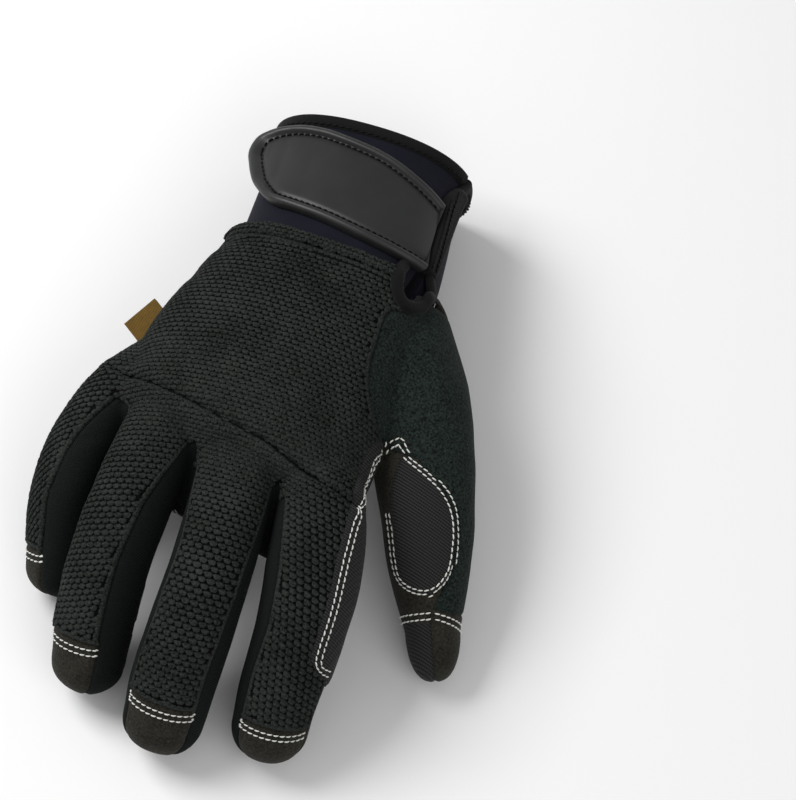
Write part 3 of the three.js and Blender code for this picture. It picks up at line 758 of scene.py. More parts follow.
def stitched(name, skin, rows, shape=white_stitch, finish=white_thread, on_form=True, closed=False,
             pitch=stitch_pitch):
    """Rows of slanting stitches on a surface, drawn straight over its creases."""
    spots, normals, ways = [], [], []
    for row in rows:
        first = len(spots)
        for p, way in zip(*walked(row, pitch, closed)):
            hit, normal = skin.find_nearest(p)[:2]
            if np.linalg.norm(np.array(hit) - p) > farthest:
                continue
            soft = form_normal(p) if on_form else np.array(normal)
            spots.append(hit)
            normals.append(soft)
            ways.append(way * math.cos(slant) + np.cross(soft, way) * math.sin(slant))
        if len(spots) - first >= fewest:
            at, up = np.array(spots[first:]), np.array(normals[first:])
            sunk = ((soft_average(at, 1) - at) * up).sum(1)
            spots[first:] = list(at + up * np.clip(sunk, 0, deepest_crease)[:, None])
    return laid(name, spots, normals, ways, shape, finish)


# Columns: from angle, to angle, station of the cap's seam
finger_backs = {
    "pinky": (-104, 60, 0.86), "ring": (-80, 80, 0.86), "middle": (-80, 80, 0.86), "index": (-80, 72, 0.93),
}
cap_flats = {"pinky": (21, 21), "ring": (25, 21), "middle": (28, 24), "index": (25, 21)}
row_places = (1.3, 3.4)


def rows_round(name, t, start, stop, distances, bow=0.0, droop=0.0, grow=0.3):
    """Rows round a finger, each a distance towards the tip from a station."""
    limb = limbs[name]
    angles = np.linspace(start, stop, 60)
    run, whole = np.interp(t, stations, limb.length), limb.length[-1]
    bowed = bow * np.cos(np.linspace(-math.pi / 2, math.pi / 2, 60))
    drooping = droop * (1 - np.cos(np.radians(angles)))
    rows = []
    for d in distances:
        at = run + (d + bowed + drooping)
        past_end = np.maximum(0, at - whole)
        rows.append(limb.surface(np.interp(at, limb.length, stations), angles, grow, past_end))
    return rows


cap_tools = []
for name, (start, stop, cap) in finger_backs.items():
    tool = wedge(name, [(cap, start, stop), (1, start, stop)], reach=3)
    piece = largest(worked(rest, ("INTERSECT", tool)))
    tucked(piece)
    sewn_in(piece, f"cap_{name}_suede", suede, f"cap_{name}", cap_flats[name])
    cap_rows = rows_round(name, cap, start + 8, stop - 8, row_places, bow=0.8)
    stitched(f"cap_{name}_stitches", skin_of(piece), cap_rows)
    cap_tools.append(tool)
cap_tool = joined(cap_tools, "caps")
rest = worked(rest, ("DIFFERENCE", cap_tool), name="rest", keep=False)


# Thumb: short-napped fleece over its outer side and back, a suede cap on the tip and a
# suede and ribbed front, all cut to meet along one seam round the thumb.
def rounded(points, steps=6):
    """A closed outline in plan, made smooth."""
    p = np.asarray(points, float)
    loop = np.vstack([p[-2:], p, p[:2]])
    count = len(loop) - 1
    at = np.linspace(2 / count, (2 + len(p)) / count, len(p) * steps, endpoint=False)
    return smooth_curve(loop, at)


def prism(outline, bottom, top):
    """Upright block over an outline in plan."""
    p = np.asarray(outline, float)
    n = len(p)
    points = np.vstack([np.c_[p, np.full(n, bottom)], np.c_[p, np.full(n, top)]])
    faces = [(i, (i + 1) % n, n + (i + 1) % n, n + i) for i in range(n)]
    faces += [tuple(range(n))[::-1], tuple(range(n, 2 * n))]
    return as_mesh("prism", points, faces)


fleece, where = cloth("short-napped fleece")
nap = where.speckle(0.8, 4)
brushed = where.speckle(5, 2)
finished((nap * 3.0 + brushed * 0.4 - 1.25).toned("060908", "29332f"), nap + brushed * 0.2, 0.5, 1.0,
         sheen=0.03)

twill, where = cloth("ribbed twill")
ribs = where.waves((0.28, 0.95, 0.15), 0.95) * 0.5 + 0.5
knots = where.waves((0.95, -0.28, 0.1), 0.8) * 0.5 + 0.5
grain = where.speckle(0.6)
finished((ribs * 0.6 + knots * 0.2 + grain * 0.3 - 0.1).toned("070707", "363736"), ribs + knots * 0.4, 0.22,
         0.75, sheen=0.03)

fleece_top = [
    (70, -8), (36, -8), (31, -17), (26, -20), (25.5, -32), (27, -46), (33, -57), (41, -62), (70, -62),
]
fleece_under = [(70, -8), (24, -8), (30, -20), (40, -36), (50, -58), (70, -62)]
slit_in_hand = [(26.5, 10), (26.5, -6), (28, -11), (30, -12.5), (32, -11), (33.5, -6), (33.5, 10)]
parting_height = 40
cap_seam, cap_end = 0.93, 192
thumb_seams = [
    (0.44, -24, 186), (0.55, -4, 190), (0.65, 24, 192), (0.8, 34, 192), (0.87, 20, 192),
    (cap_seam, 0, cap_end), (0.99, 0, cap_end),
]

# The cap's seam runs slanting, further down on the outer side of the thumb
thumb = limbs["thumb"]
seam_at = thumb.at(thumb.middle, np.array([cap_seam]))[0]
seam_way = thumb.at(thumb.along, np.array([cap_seam]))[0]
outer_way = thumb.surface(cap_seam, np.array([90.0]), 0.0)[0] - seam_at
seam_slant, seam_droop = 4.0, 2.2
thumb_cap_tool = wedge("thumb", [(cap_seam, -4, cap_end), (1, -4, cap_end)], reach=3)
points = co_of(thumb_cap_tool.data)
cap_length = 5
at_seam = (points - seam_at) @ seam_way < cap_length
outwards = (points[at_seam] - seam_at) @ outer_way / (outer_way @ outer_way)
points[at_seam] += np.outer(outwards, seam_way) * seam_slant
set_co(thumb_cap_tool.data, points)
thumb_cap = worked(rest, ("INTERSECT", thumb_cap_tool))
rest = worked(rest, ("DIFFERENCE", thumb_cap_tool), name="rest", keep=False)

fleece_tool = joined([
    prism(along_curve(fleece_top, 60), parting_height, 95), prism(fleece_under, -5, parting_height + 0.001),
    wedge("thumb", thumb_seams, reach=3)], "fleece")
slit_tool = prism(slit_in_hand, parting_height, 90)
thumb_fleece = largest(worked(rest, ("INTERSECT", fleece_tool), ("DIFFERENCE", slit_tool)))
tucked(thumb_fleece, depth=0.6)
sewn_in(thumb_fleece, "thumb_fleece_cloth", fleece, "thumb_fleece", (76, 106), 0.75)
rest = worked(rest, ("DIFFERENCE", fleece_tool), name="rest", keep=False)

thumb_cap = largest(thumb_cap)
tucked(thumb_cap)
sewn_in(thumb_cap, "cap_thumb_suede", suede, "cap_thumb", (32, 28))
stitched("cap_thumb_stitches", skin_of(thumb_cap),
         rows_round("thumb", cap_seam, 2, 186, row_places, bow=seam_slant, droop=seam_droop))

thumb_front_tool = wedge("thumb", [(0.5, -168, 20), (1, -168, 20)], reach=3)
thumb_front = largest(worked(rest, ("INTERSECT", thumb_front_tool)))
tucked(thumb_front)
sewn_in(thumb_front, "thumb_front_suede", suede, "thumb_front", (48, 82), 0.8)
thumb_front.data.materials.append(twill)
centres = values_of(thumb_front.data.polygons, "center") * 1000 - place
twill_from = row_places[1] + 1.2
beyond = (centres - seam_at) @ seam_way > twill_from
thumb_front.data.polygons.foreach_set("material_index", beyond.astype(np.int32))
stitched("thumb_front_stitches", skin_of(thumb_front),
         rows_round("thumb", cap_seam, -162, -2, row_places, droop=seam_droop)
         + rows_round("thumb", 0.62, -165, -105, row_places))
rest = worked(rest, ("DIFFERENCE", thumb_front_tool), name="rest", keep=False)


# Back of the hand: one panel of open knit over the hand and the four fingers. Its face
# is rows of raised staggered nubs with dark pits between them.
knit_ground, where = cloth("knit ground")
grain = where.speckle(0.6, 2)
finished(grain.toned("010101", "080a09"), grain, 0.25, 0.95)

# The outer and the thumb-side seam of the hand, as angles, and how far the hem reaches
outer_seam, thumb_seam = -100, 84
hem_end = 0.045
back_tool = joined(
    [wedge("palm", [(0, outer_seam, thumb_seam), (1, outer_seam, thumb_seam)], reach=6, past=2)]
    + [wedge(n, [(0.08, s, e), (c, s, e)], reach=5) for n, (s, e, c) in finger_backs.items()], "back")
hem_tool = wedge("palm", [(0, outer_seam, thumb_seam), (hem_end, outer_seam, thumb_seam)], reach=4, past=6)
back = largest(worked(rest, ("INTERSECT", back_tool), ("DIFFERENCE", slit_tool), ("DIFFERENCE", hem_tool)))

# The knit's face laid flat: the outer side of the panel, thinned out and unwrapped
on_top = on_skin(form_tree, co_of(back.data))
flat = new_object("knit face", part_of(back.data, on_top, "knit face"))
knit_face = skin_tree(flat.data)
m = flat.modifiers.new("thin out", "DECIMATE")
m.ratio = 0.12
largest(evaluated(flat))
flat.data.uv_layers.new(name="flat")
for o in bpy.context.selected_objects:
    o.select_set(False)
bpy.context.view_layer.objects.active = flat
flat.select_set(True)
bpy.ops.object.mode_set(mode="EDIT")
bpy.ops.mesh.select_all(action="SELECT")
bpy.ops.uv.unwrap(method="ANGLE_BASED", margin=0)
bpy.ops.object.mode_set(mode="OBJECT")

# Its rims walked round, before they are tucked in
shortest_loop = 12
seam_loops, links = [], {}
for a, b in rim_edges(back.data, on_top):
    links.setdefault(a, set()).add(b)
    links.setdefault(b, set()).add(a)
rim_spots = co_of(back.data)
while links:
    loop = [next(iter(links))]
    while links.get(loop[-1]):
        step = links[loop[-1]].pop()
        links[step].discard(loop[-1])
        loop.append(step)
    links = {k: v for k, v in links.items() if v}
    if len(loop) > shortest_loop:
        seam_loops.append(soft_average(rim_spots[loop], 2))
rim_tree = near_tree(tucked(back, depth=0.8))
sewn_in(back, "back_knit", knit_ground, "back_panel", (150, 178), 0.67)

# The flat face at the size of the real one, its rows turned across the hand
flat.data.calc_loop_triangles()
uv = values_of(flat.data.uv_layers[0].uv, "vector", 2)
solid_corners = co_of(flat.data)[np.array([t.vertices[:] for t in flat.data.loop_triangles])]
flat_corners = uv[np.array([t.loops[:] for t in flat.data.loop_triangles])]
side_a, side_b = solid_corners[:, 1] - solid_corners[:, 0], solid_corners[:, 2] - solid_corners[:, 0]
flat_a, flat_b = flat_corners[:, 1] - flat_corners[:, 0], flat_corners[:, 2] - flat_corners[:, 0]
solid_area = np.linalg.norm(np.cross(side_a, side_b), axis=1)
flat_area = flat_a[:, 0] * flat_b[:, 1] - flat_a[:, 1] * flat_b[:, 0]
grade = math.sqrt(solid_area.sum() / np.abs(flat_area).sum())
fingers_from = -62
on_hand = solid_corners[:, :, 1].mean(1) > fingers_from
fit_from = np.c_[flat_corners[on_hand].mean(1), np.ones(on_hand.sum())]
fit = np.linalg.lstsq(fit_from, solid_corners[on_hand].mean(1)[:, :2], rcond=None)[0][:2]
if np.linalg.det(fit) < 0:
    flat_corners[..., 1] *= -1
    fit[1] *= -1
heading = math.atan2(fit[0, 1] - fit[1, 0], fit[0, 0] + fit[1, 1])
turned = np.array([[math.cos(heading), math.sin(heading)], [-math.sin(heading), math.cos(heading)]])
flat_corners = flat_corners @ turned * grade
flat_spots = flat_corners.reshape(-1, 2)
flat_tree = BVHTree.FromPolygons(np.c_[flat_spots, np.zeros(len(flat_spots))].tolist(),
                                 np.arange(len(flat_spots)).reshape(-1, 3).tolist())


def plumb(tree, x, y, start):
    """What a plumb line through x and y meets first: the spot, its normal and its face."""
    return tree.ray_cast(Vector((x, y, start)), Vector((0, 0, -math.copysign(1, start))))[:3]


# Staggered rows of nubs in the flat, carried back on to the panel and kept off its seams
# and off the stitched crease
nub_pitch, row_pitch = 2.75, 1.85
nub_rise = 0.68
seam_margin, crease_margin, small_step = 1.9, 1.2, 0.05
knit_skin = skin_of(back)
low, high = flat_spots.min(0), flat_spots.max(0)
spots, ups, ways = [], [], []
for r, v in enumerate(np.arange(low[1], high[1], row_pitch)):
    for u in np.arange(low[0], high[0], nub_pitch) + (r % 2) * nub_pitch / 2:
        k = plumb(flat_tree, u, v, 1)[2]
        if k is None:
            continue
        a, b, c = flat_corners[k]
        basis = np.array([b - a, c - a]).T
        if abs(np.linalg.det(basis)) < 1e-9:
            continue
        inverse = np.linalg.inv(basis)
        share_a, share_b = inverse @ (np.array([u, v]) - a)
        spot = solid_corners[k, 0] + share_a * side_a[k] + share_b * side_b[k]
        if rim_tree.find(spot)[2] < seam_margin:
            continue
        beside = spot[:2] + np.array([(0, 0), (small_step, 0), (0, small_step)])
        gap, *gap_beside = plan_distance(beside, knuckle_line)
        if gap < crease_margin:
            spot = spot + np.append((np.array(gap_beside) - gap) / small_step, 0) * (crease_margin - gap)
        way = inverse[0, 0] * side_a[k] + inverse[1, 0] * side_b[k]
        spots.append(knit_skin.find_nearest(spot)[0])
        ups.append(form_normal(spot))
        ways.append(way / np.linalg.norm(way))

# One row of nubs follows the seams all round
seam_pitch = nub_pitch * 0.8
for loop in seam_loops:
    for p, way in zip(*walked(loop, seam_pitch)):
        normal = np.array(form_normal(p))
        aside = np.cross(normal, way)
        inner = min((p + aside, p - aside), key=lambda q: knit_face.find_nearest(q)[3])
        spots.append(knit_skin.find_nearest(inner)[0])
        ups.append(normal)
        ways.append(way)
removed(flat)

nub_face, where = cloth("knit nubs")
yarn = where.speckle(0.7, 3)
worn = where.speckle(16, 2)
finished((yarn * 2.4 + worn * 0.8 - 1.1).toned("0c0e0c", "343835"), yarn, 0.5, 0.9)

# Columns of a nub's sections: height, width, length, how far forward
nub_sections = [(-0.3, 1.12, 1.1, 0.0), (0.6, 1.08, 0.85, 0.2), (1.0, 0.86, 0.42, 0.3)]
turn = np.arange(6) * math.pi / 3
nub_rings = []
for rise, wide, tall, forward in nub_sections:
    back_ends = 0.3 * np.cos(turn) ** 2 - forward
    x, y = np.cos(turn) * nub_pitch * 0.52 * wide, (np.sin(turn) * 0.58 * tall + back_ends) * row_pitch
    nub_rings.append(np.c_[x, y, np.full(6, nub_rise * rise)] * 0.001)
nub = lofted("nub", nub_rings)
laid("back_knit_nubs", spots, ups, ways, nub, nub_face, 0.06)


# Wrist hem: the upper edge of the knitted back folded over and sewn down. It is a soft
# roll of the same knit, with smaller nubs.
hem = largest(worked(rest, ("INTERSECT", hem_tool), ("DIFFERENCE", slit_tool)))
tucked(hem, depth=0.3, reach=1.9, lift=1.5)
sewn_in(hem, "wrist_hem_knit", knit_ground, "wrist_hem", (126, 10), 0.53)
hem_skin = skin_of(hem)
hem_rise, hem_row_pitch, hem_reach = 1.2, 1.3, 1.6
spots, ups, ways = [], [], []
for r, y in enumerate(np.arange(-1.0, 6.0, hem_row_pitch)):
    row = limbs["palm"].surface(0, np.linspace(outer_seam + 3, thumb_seam - 4, 300), hem_rise, y)
    for p, way in zip(*walked(row, seam_pitch)):
        hit, normal, _, gap = hem_skin.find_nearest(p + way * (r % 2) * seam_pitch / 2)
        if gap < hem_reach and normal.z > 0.1:
            spots.append(hit)
            ups.append(normal)
            ways.append(way)
small_nub = copied(nub, "small nub")
set_co(small_nub.data, co_of(nub.data) * 0.8)
laid("wrist_hem_nubs", spots, ups, ways, small_nub, nub_face, 0.06)


# Palm: synthetic suede over the palm and the fronts of the fingers, one panel that the
# knitted back, the side walls and the thumb are sewn to.
palm = largest(worked(rest, ("DIFFERENCE", back_tool), name="palm"))
tucked(palm)
sewn_in(palm, "palm_suede", suede, "palm_panel", (130, 178), 0.8)


# Ribbed patches sewn over the suede: one over each fingertip and one below it, four on
# the palm, the teardrop on the thumb and the patch over the web. They are a ribbed twill.
patch_depth = 1.2
grown = copied(form, "grown")
lifted = form_points + form_normals * patch_depth
lifted[:, 2] = np.maximum(lifted[:, 2], 0.0)
set_co(grown.data, lifted)
grown_tree = skin_tree(grown.data)
thumb_room = tube("thumb", patch_depth + 0.4)

tip_patch = [(0.86, 132, 228), (1, 134, 226)]
mid_patch = [(0.58, 162, 198), (0.62, 144, 216), (0.68, 134, 226), (0.8, 132, 228)]
teardrop = [
    (45, -64), (50, -64.5), (57, -67.5), (63.5, -72), (68.5, -79), (70.5, -87), (71.5, -94), (69.5, -100),
    (65, -103), (59.5, -103), (54.5, -99.5), (50.5, -92), (47, -83), (44, -74),
]
web_outline = [
    (41.5, -59.5), (36.6, -61.5), (34.0, -70), (34.4, -80), (36.2, -96), (37.0, -110), (38.3, -122),
    (38.0, -135), (38.5, -141.5), (43, -143), (52, -140), (52, -118), (50, -96), (46, -80), (43, -70),
]
# Each palm patch: its outline in plan, its flat size and the share of it that the cut takes
palm_patches = {
    "upper_palm_patch": ([
        (-57, -82), (-34, -91), (33, -95), (38, -104), (37, -120), (24, -121), (20, -108), (12, -104.5),
        (4, -108), (2, -123), (-10, -123), (-13, -108), (-20, -103), (-28, -106), (-31, -119), (-43, -118),
        (-45, -104), (-51, -98), (-66, -97), (-65, -88),
    ], (110, 42), 0.57),
    "outer_palm_patch": ([
        (-50, -80), (-30, -86), (-11, -88), (-4.5, -85), (-5, -80), (-15, -70), (-27, -57), (-33, -40),
        (-34, -24), (-41, -23), (-47, -40), (-53, -62),
    ], (40, 74), 0.6),
    "thumb_ball_patch": ([
        (9, -88), (30, -89), (31, -83), (25, -78), (25, -64), (30, -50), (31, -38), (25, -28), (15, -20),
        (4, -15), (-8, -14), (-18, -21), (-24, -33), (-23, -47), (-16, -58), (-4, -68), (6, -77),
    ], (58, 84), 0.64),
    "heel_patch": ([(-35, -17), (-22, -14), (-12, -8.5), (-13, -6), (-24, -6), (-34, -7)], (28, 12), 0.7),
}


def sewn_patch(name, steps, flat, share=0.9):
    """A patch of the lifted surface, its edges pressed down by the stitching."""
    piece = largest(worked(grown, *steps, ("DIFFERENCE", form)))
    tucked(piece, depth=0.75, reach=1.7, skin=grown_tree)
    return sewn_in(piece, name + "_cloth", twill, name, flat, share)


far_above, far_below = 120, -50


def edge_rows(outline, distances):
    """Rows inside the edge of a palm patch, found from below under its outline in plan."""
    hits = [plumb(grown_tree, x, y, far_below)[0] for x, y in outline]
    ring = np.array([hit for hit in hits if hit is not None])
    normals = np.array([form_normal(p) for p in ring])
    inwards = unit(np.cross(normals, np.roll(ring, -1, 0) - np.roll(ring, 1, 0)))
    x, y = outline.T
    if (x * np.roll(y, -1) - np.roll(x, -1) * y).sum() > 0:
        inwards = -inwards
    return [np.array([grown_tree.find_nearest(p)[0] for p in ring + inwards * d]) for d in distances]


patch_rows = (1.1, 3.1)
# Each finger patch: its seam, the station and places of its rows, its flat size by finger
finger_patches = {
    "tip_patch": (tip_patch, 0.86, (0.9, 2.9), [(21, 19), (25, 23), (26, 25), (25, 24)]),
    "mid_patch": (mid_patch, 0.8, (-2.9, -0.9), [(19, 19), (23, 23), (23, 23), (23, 22)]),
}
for i, name in enumerate(finger_names):
    for kind, (spans, station, distances, flats) in finger_patches.items():
        tool = wedge(name, spans, reach=4)
        piece = sewn_patch(f"{kind}_{name}", [("INTERSECT", tool)], flats[i])
        removed(tool)
        stitched(f"{kind}_{name}_stitches", skin_of(piece),
                 rows_round(name, station, 140, 220, distances, grow=patch_depth + 0.5))
upper_low, upper_high = 27, 70
web_line = rounded(web_outline)
web_tool = prism(web_line, upper_low, upper_high)
drop_tool = prism(rounded(teardrop), upper_low, upper_high)
drop = sewn_patch("thumb_side_patch", [("INTERSECT", drop_tool)], (24, 47), 0.8)
web = sewn_patch("web_patch", [("INTERSECT", web_tool), ("DIFFERENCE", thumb_room)], (29, 84), 0.85)

# The double row that holds both: up the index finger, over the web and round the teardrop
web_row = [
    (43.1, -141.3), (40.6, -142.6), (39.2, -141.6), (38.7, -139.2), (39.2, -129.4), (39.2, -121.5),
    (38.5, -113), (37.9, -105), (37.2, -94.4), (36.4, -85), (35.2, -75.5), (35.3, -67.5), (37.4, -61.8),
    (40.2, -58.7), (42.6, -57.8), (45, -60.2), (47.7, -62.5), (51.8, -64.3), (58, -66.8), (63.1, -69.5),
    (66.7, -73), (69.2, -78.3), (71.1, -84.6), (71.8, -92), (70.9, -97.5), (68.6, -101.6), (65, -103.4),
    (60.2, -102.9), (54.9, -100), (51, -94.5), (47.4, -86.8), (43.8, -79.4),
]
row_skin = skin_of(drop, web, palm, thumb_front, thumb_fleece, back)
hits = [plumb(form_tree, x, y, far_above)[0] for x, y in along_curve(web_row, 400)]
outer_row = soft_average(np.array([p for p in hits if p is not None]), 3)
row_normals = np.array([form_normal(p) for p in outer_row])
outer_row = outer_row + row_normals * (patch_depth + 0.4)
aside = unit(np.cross(np.gradient(outer_row, axis=0), soft_average(row_normals, 3)))
between_rows = row_places[1] - row_places[0]
inner_row = soft_average(outer_row + aside * between_rows, 3)
stitched("web_and_thumb_stitches", row_skin, [outer_row, inner_row])

palm_low, palm_high = -5, 38
web_room = prism(web_line, palm_low, palm_high + 1)
for name, (outline, flat, share) in palm_patches.items():
    line = rounded(outline, 5)
    tool = prism(line, palm_low, palm_high)
    piece = sewn_patch(name, [("INTERSECT", tool), ("DIFFERENCE", web_room)], flat, share)
    stitched(name + "_stitches", skin_of(piece), edge_rows(line, patch_rows), closed=True)
    removed(tool)


# Cuff: a smooth neoprene tube round the wrist, sewn to the hand at one end and slit
# beside the thumb from its mouth down.
neoprene, where = cloth("neoprene")
jersey = where.waves((1, 0, 0), 0.75) * where.waves((0, 1, 0.7), 0.9) * 0.5 + 0.5
haze = where.speckle(9, 2)
finished((jersey * 0.4 + haze * 0.5).toned("0b0c12", "1b1c28"), jersey + haze * 0.5, 0.1, 0.8)

cuff_wall = 2.6
binding_depth = 1.5
cuff = limbs["cuff"]


def cuff_tube(name, grow, **lengths):
    """The cuff grown outwards, kept off the floor by the depth of its binding."""
    obj = tube("cuff", grow, around=120, spacing=1.0, **lengths)
    co = co_of(obj.data)
    co[:, 2] = np.maximum(co[:, 2], 0.3 + binding_depth - grow)
    set_co(obj.data, co)
    return obj


slit_in_cuff = [(0, 72, 78), (0.4, 64, 70), (0.75, 56, 63), (1, 48, 58)]
cuff_slit = wedge("cuff", slit_in_cuff, reach=9, past=6)
outer = cuff_tube("outer", 0)
inner = cuff_tube("inner", -cuff_wall, before=6, after=6)
cuff_cloth = worked(outer, ("DIFFERENCE", inner), ("DIFFERENCE", cuff_slit))
removed(outer, inner)
sewn_in(largest(cuff_cloth), "cuff_neoprene", neoprene, "cuff", (205, 68), 0.97)


# Bindings: black tape folded over the mouth of the cuff and over the edge of the slit.
# It is a rounded band, sewn through with black thread.
tape, where = cloth("binding tape")
ribs = where.waves((1, 1, 1), 0.6) * 0.5 + 0.5
grain = where.speckle(0.5)
finished((ribs * 0.3 + grain * 0.6).toned("040405", "151617"), ribs + grain * 0.5, 0.1, 0.75, sheen=0.03)


def stitched_black(name, piece, rows, pitch):
    """Rows of black thread on one finished piece."""
    stitched(name, skin_of(piece), rows, black_stitch, black_thread, on_form=False, pitch=pitch)


# The tape's section: how far out from the cuff's face, how far in from the mouth
outer_edge, inner_edge = binding_depth, -cuff_wall - binding_depth
middle_depth, half_depth = (outer_edge + inner_edge) / 2, (outer_edge - inner_edge) / 2
mouth_bulge = 1.6
profile = [(outer_edge * 0.35, 4.3), (outer_edge * 0.85, 3.8), (outer_edge * 1.08, 1.8)]
for k in range(17):
    bend = math.pi * k / 16
    profile.append((middle_depth + half_depth * math.cos(bend), -mouth_bulge * math.sin(bend) ** 0.8))
profile += [(inner_edge + binding_depth * 0.15, 1.9), (inner_edge + binding_depth * 0.65, 2.4)]
profile.append((-cuff_wall * 0.5, 2.4))
mouth_angles = np.linspace(79.5, 430.5, 240)
mouth_rings = np.array([[cuff.surface(0, angle, *spot) for spot in profile] for angle in mouth_angles])
mouth_rings[..., 2] = np.maximum(mouth_rings[..., 2], 0.0)
mouth = lofted("mouth", mouth_rings)
sewn_in(mouth, "mouth_binding_tape", tape, "cuff_binding", (198, 11), 1)
mouth_rows = [cuff.surface(0, angles, 1.5, 3.0) for angles in (mouth_angles[3:28], mouth_angles[110:-3])]
stitched_black("mouth_binding_stitches", mouth, mouth_rows, 2.6)


# Slit binding: the same tape in a bend round the end of the slit. One leg runs up to the
# mouth of the cuff, the other ends beside the strap. It has a row of thread on each side.
cuff_skin = skin_of(cuff_cloth)
slit_end = [
    (24.4, 1), (24.2, -6), (25.8, -12), (28.3, -14.9), (30.4, -15.3), (32.6, -14.2), (34.7, -11),
    (35.4, -7.5), (35.3, -4.4),
]
# Columns of the leg: station of the cuff, angle
slit_leg = [(0.8, 61.5), (0.654, 61), (0.473, 63.2), (0.277, 69.2), (0.119, 75), (0.03, 76)]
hand_end = -4


def cuff_stations(y):
    return np.interp(-np.asarray(y, float), -cuff.middle[:, 1], stations)


def top_of(x, y):
    hits = [plumb(tree, x, y, far_above)[0] for tree in (form_tree, cuff_skin)]
    return max((h for h in hits if h is not None), key=lambda h: h.z)


path = [np.array(top_of(x, y)) for x, y in slit_end] + [cuff.surface(t, angle, 0.2) for t, angle in slit_leg]
path = along_curve(np.array(path), 240)


def band(name, path, normals, half_width, thick, power=2.6, count=14):
    """A rounded band along a path, flat underneath."""
    across = unit(np.cross(normals, unit(np.gradient(path, axis=0))))
    rings = []
    places = np.cos(np.linspace(0, math.pi, count))
    heights = thick * (1 - np.abs(places) ** power) ** (1 / power)
    for p, n, a in zip(path, normals, across):
        top = [p + a * half_width * c + n * (0.1 + h) for c, h in zip(places, heights)]
        rings.append(top + [p - a * half_width * 0.98, p + a * half_width * 0.98])
    return lofted(name, rings)


outwards = path - np.array([cuff.at(cuff.middle, cuff_stations(y)) for y in path[:, 1]])
outwards[:, 1] = 0
outwards = unit(outwards)
skin_normals = np.array([form_normal(p) if p[1] < hand_end else o for p, o in zip(path, outwards)])
skin_normals = unit(soft_average(skin_normals, 6))
slit_band = band("slit", path, skin_normals, half_width=2.3, thick=2.3)
sewn_in(slit_band, "slit_binding_tape", tape, "slit_binding", (88, 10), 0.95)
aside = unit(np.cross(skin_normals, np.gradient(path, axis=0))) * 1.2
stitched_black("slit_binding_stitches", slit_band, [path + aside, path - aside], 2.3)


# Strap: a moulded rubber tab with a soft raised rim, a stitched groove inside it and a
# smooth sunk middle. Its free round end stands a little off the cuff, and the other end
# is sewn into a folded cloth end beside the slit.
def on_cuff(girth, y, height, near=0.3):
    """Points by their distance round the cuff from its top and along the hand."""
    girth, y, height = np.broadcast_arrays(*(np.asarray(v, float) for v in (girth, y, height)))
    flat_t = cuff_stations(y).ravel()
    angles = np.arange(-180, 181, 2.0)
    degrees = np.empty(flat_t.shape)
    known = {}
    for i, (t, g) in enumerate(zip(flat_t, girth.ravel())):
        key = round(t * (len(stations) - 1))
        if key not in known:
            around = run_along(cuff.surface(stations[key], angles, near))
            known[key] = around - around[len(angles) // 2]
        degrees[i] = np.interp(g, known[key], angles)
    return cuff.surface(flat_t.reshape(y.shape), degrees.reshape(y.shape), height)


rubber, where = cloth("moulded rubber")
grain = where.speckle(0.28, 2)
rubbed = where.speckle(11, 3)
finished((rubbed * 0.6 + grain * 0.3).toned("131314", "272828"), grain + rubbed * 0.4, 0.05,
         rubbed * 0.16 + 0.36, specular=0.4)

# Columns: girth, lower edge, upper edge, how far it stands off
tab_spans = [
    (-39.3, 33.6, 34.4, 6.6), (-38.9, 31, 37.2, 6.3), (-38, 28, 40, 5.8), (-36.5, 23.4, 42, 4.9),
    (-34.4, 18.4, 43.6, 3.8), (-31.6, 14.4, 45.2, 2.5), (-26.6, 9.8, 46.7, 0.9), (-16, 7, 47, 0),
    (-6, 5.1, 45.4, 0), (8, 2.4, 42.6, 0), (22, 1.1, 37.6, 0), (32, 1.1, 34, 0),
]
base_spans = [
    (32.7, 2.4, 33, 0), (34.5, 2.1, 40, 0), (38.4, 1.7, 45.6, 0), (40.5, 15, 46.2, 0), (43, 31, 46.2, 0),
    (45.2, 43, 45.6, 0),
]
# Height of the tab by the distance in from its edge
tab_profile = [
    (0, 0.5), (0.15, 1.4), (0.45, 2.35), (0.95, 3.15), (1.6, 3.75), (2.3, 3.95), (3.0, 3.8), (3.5, 3.3),
    (3.9, 2.5), (4.3, 1.95), (4.9, 1.85), (5.3, 2.15), (5.7, 2.35), (6.6, 2.45), (30, 2.6),
]
base_profile = [
    (0, 0.6), (0.2, 1.6), (0.5, 2.4), (0.9, 2.9), (1.5, 3.2), (2.4, 3.25), (3.2, 3.0), (6.5, 2.95),
]
# Distances in from the edge at which a section has its points, on a half width of 19.5 or more
inset_steps = np.array([
    0, 0.12, 0.3, 0.55, 0.9, 1.35, 1.9, 2.5, 3.1, 3.6, 4, 4.35, 4.7, 5.05, 5.4, 5.9, 6.7, 8, 10, 12.5, 15.5,
    19])
full_half = 19.5


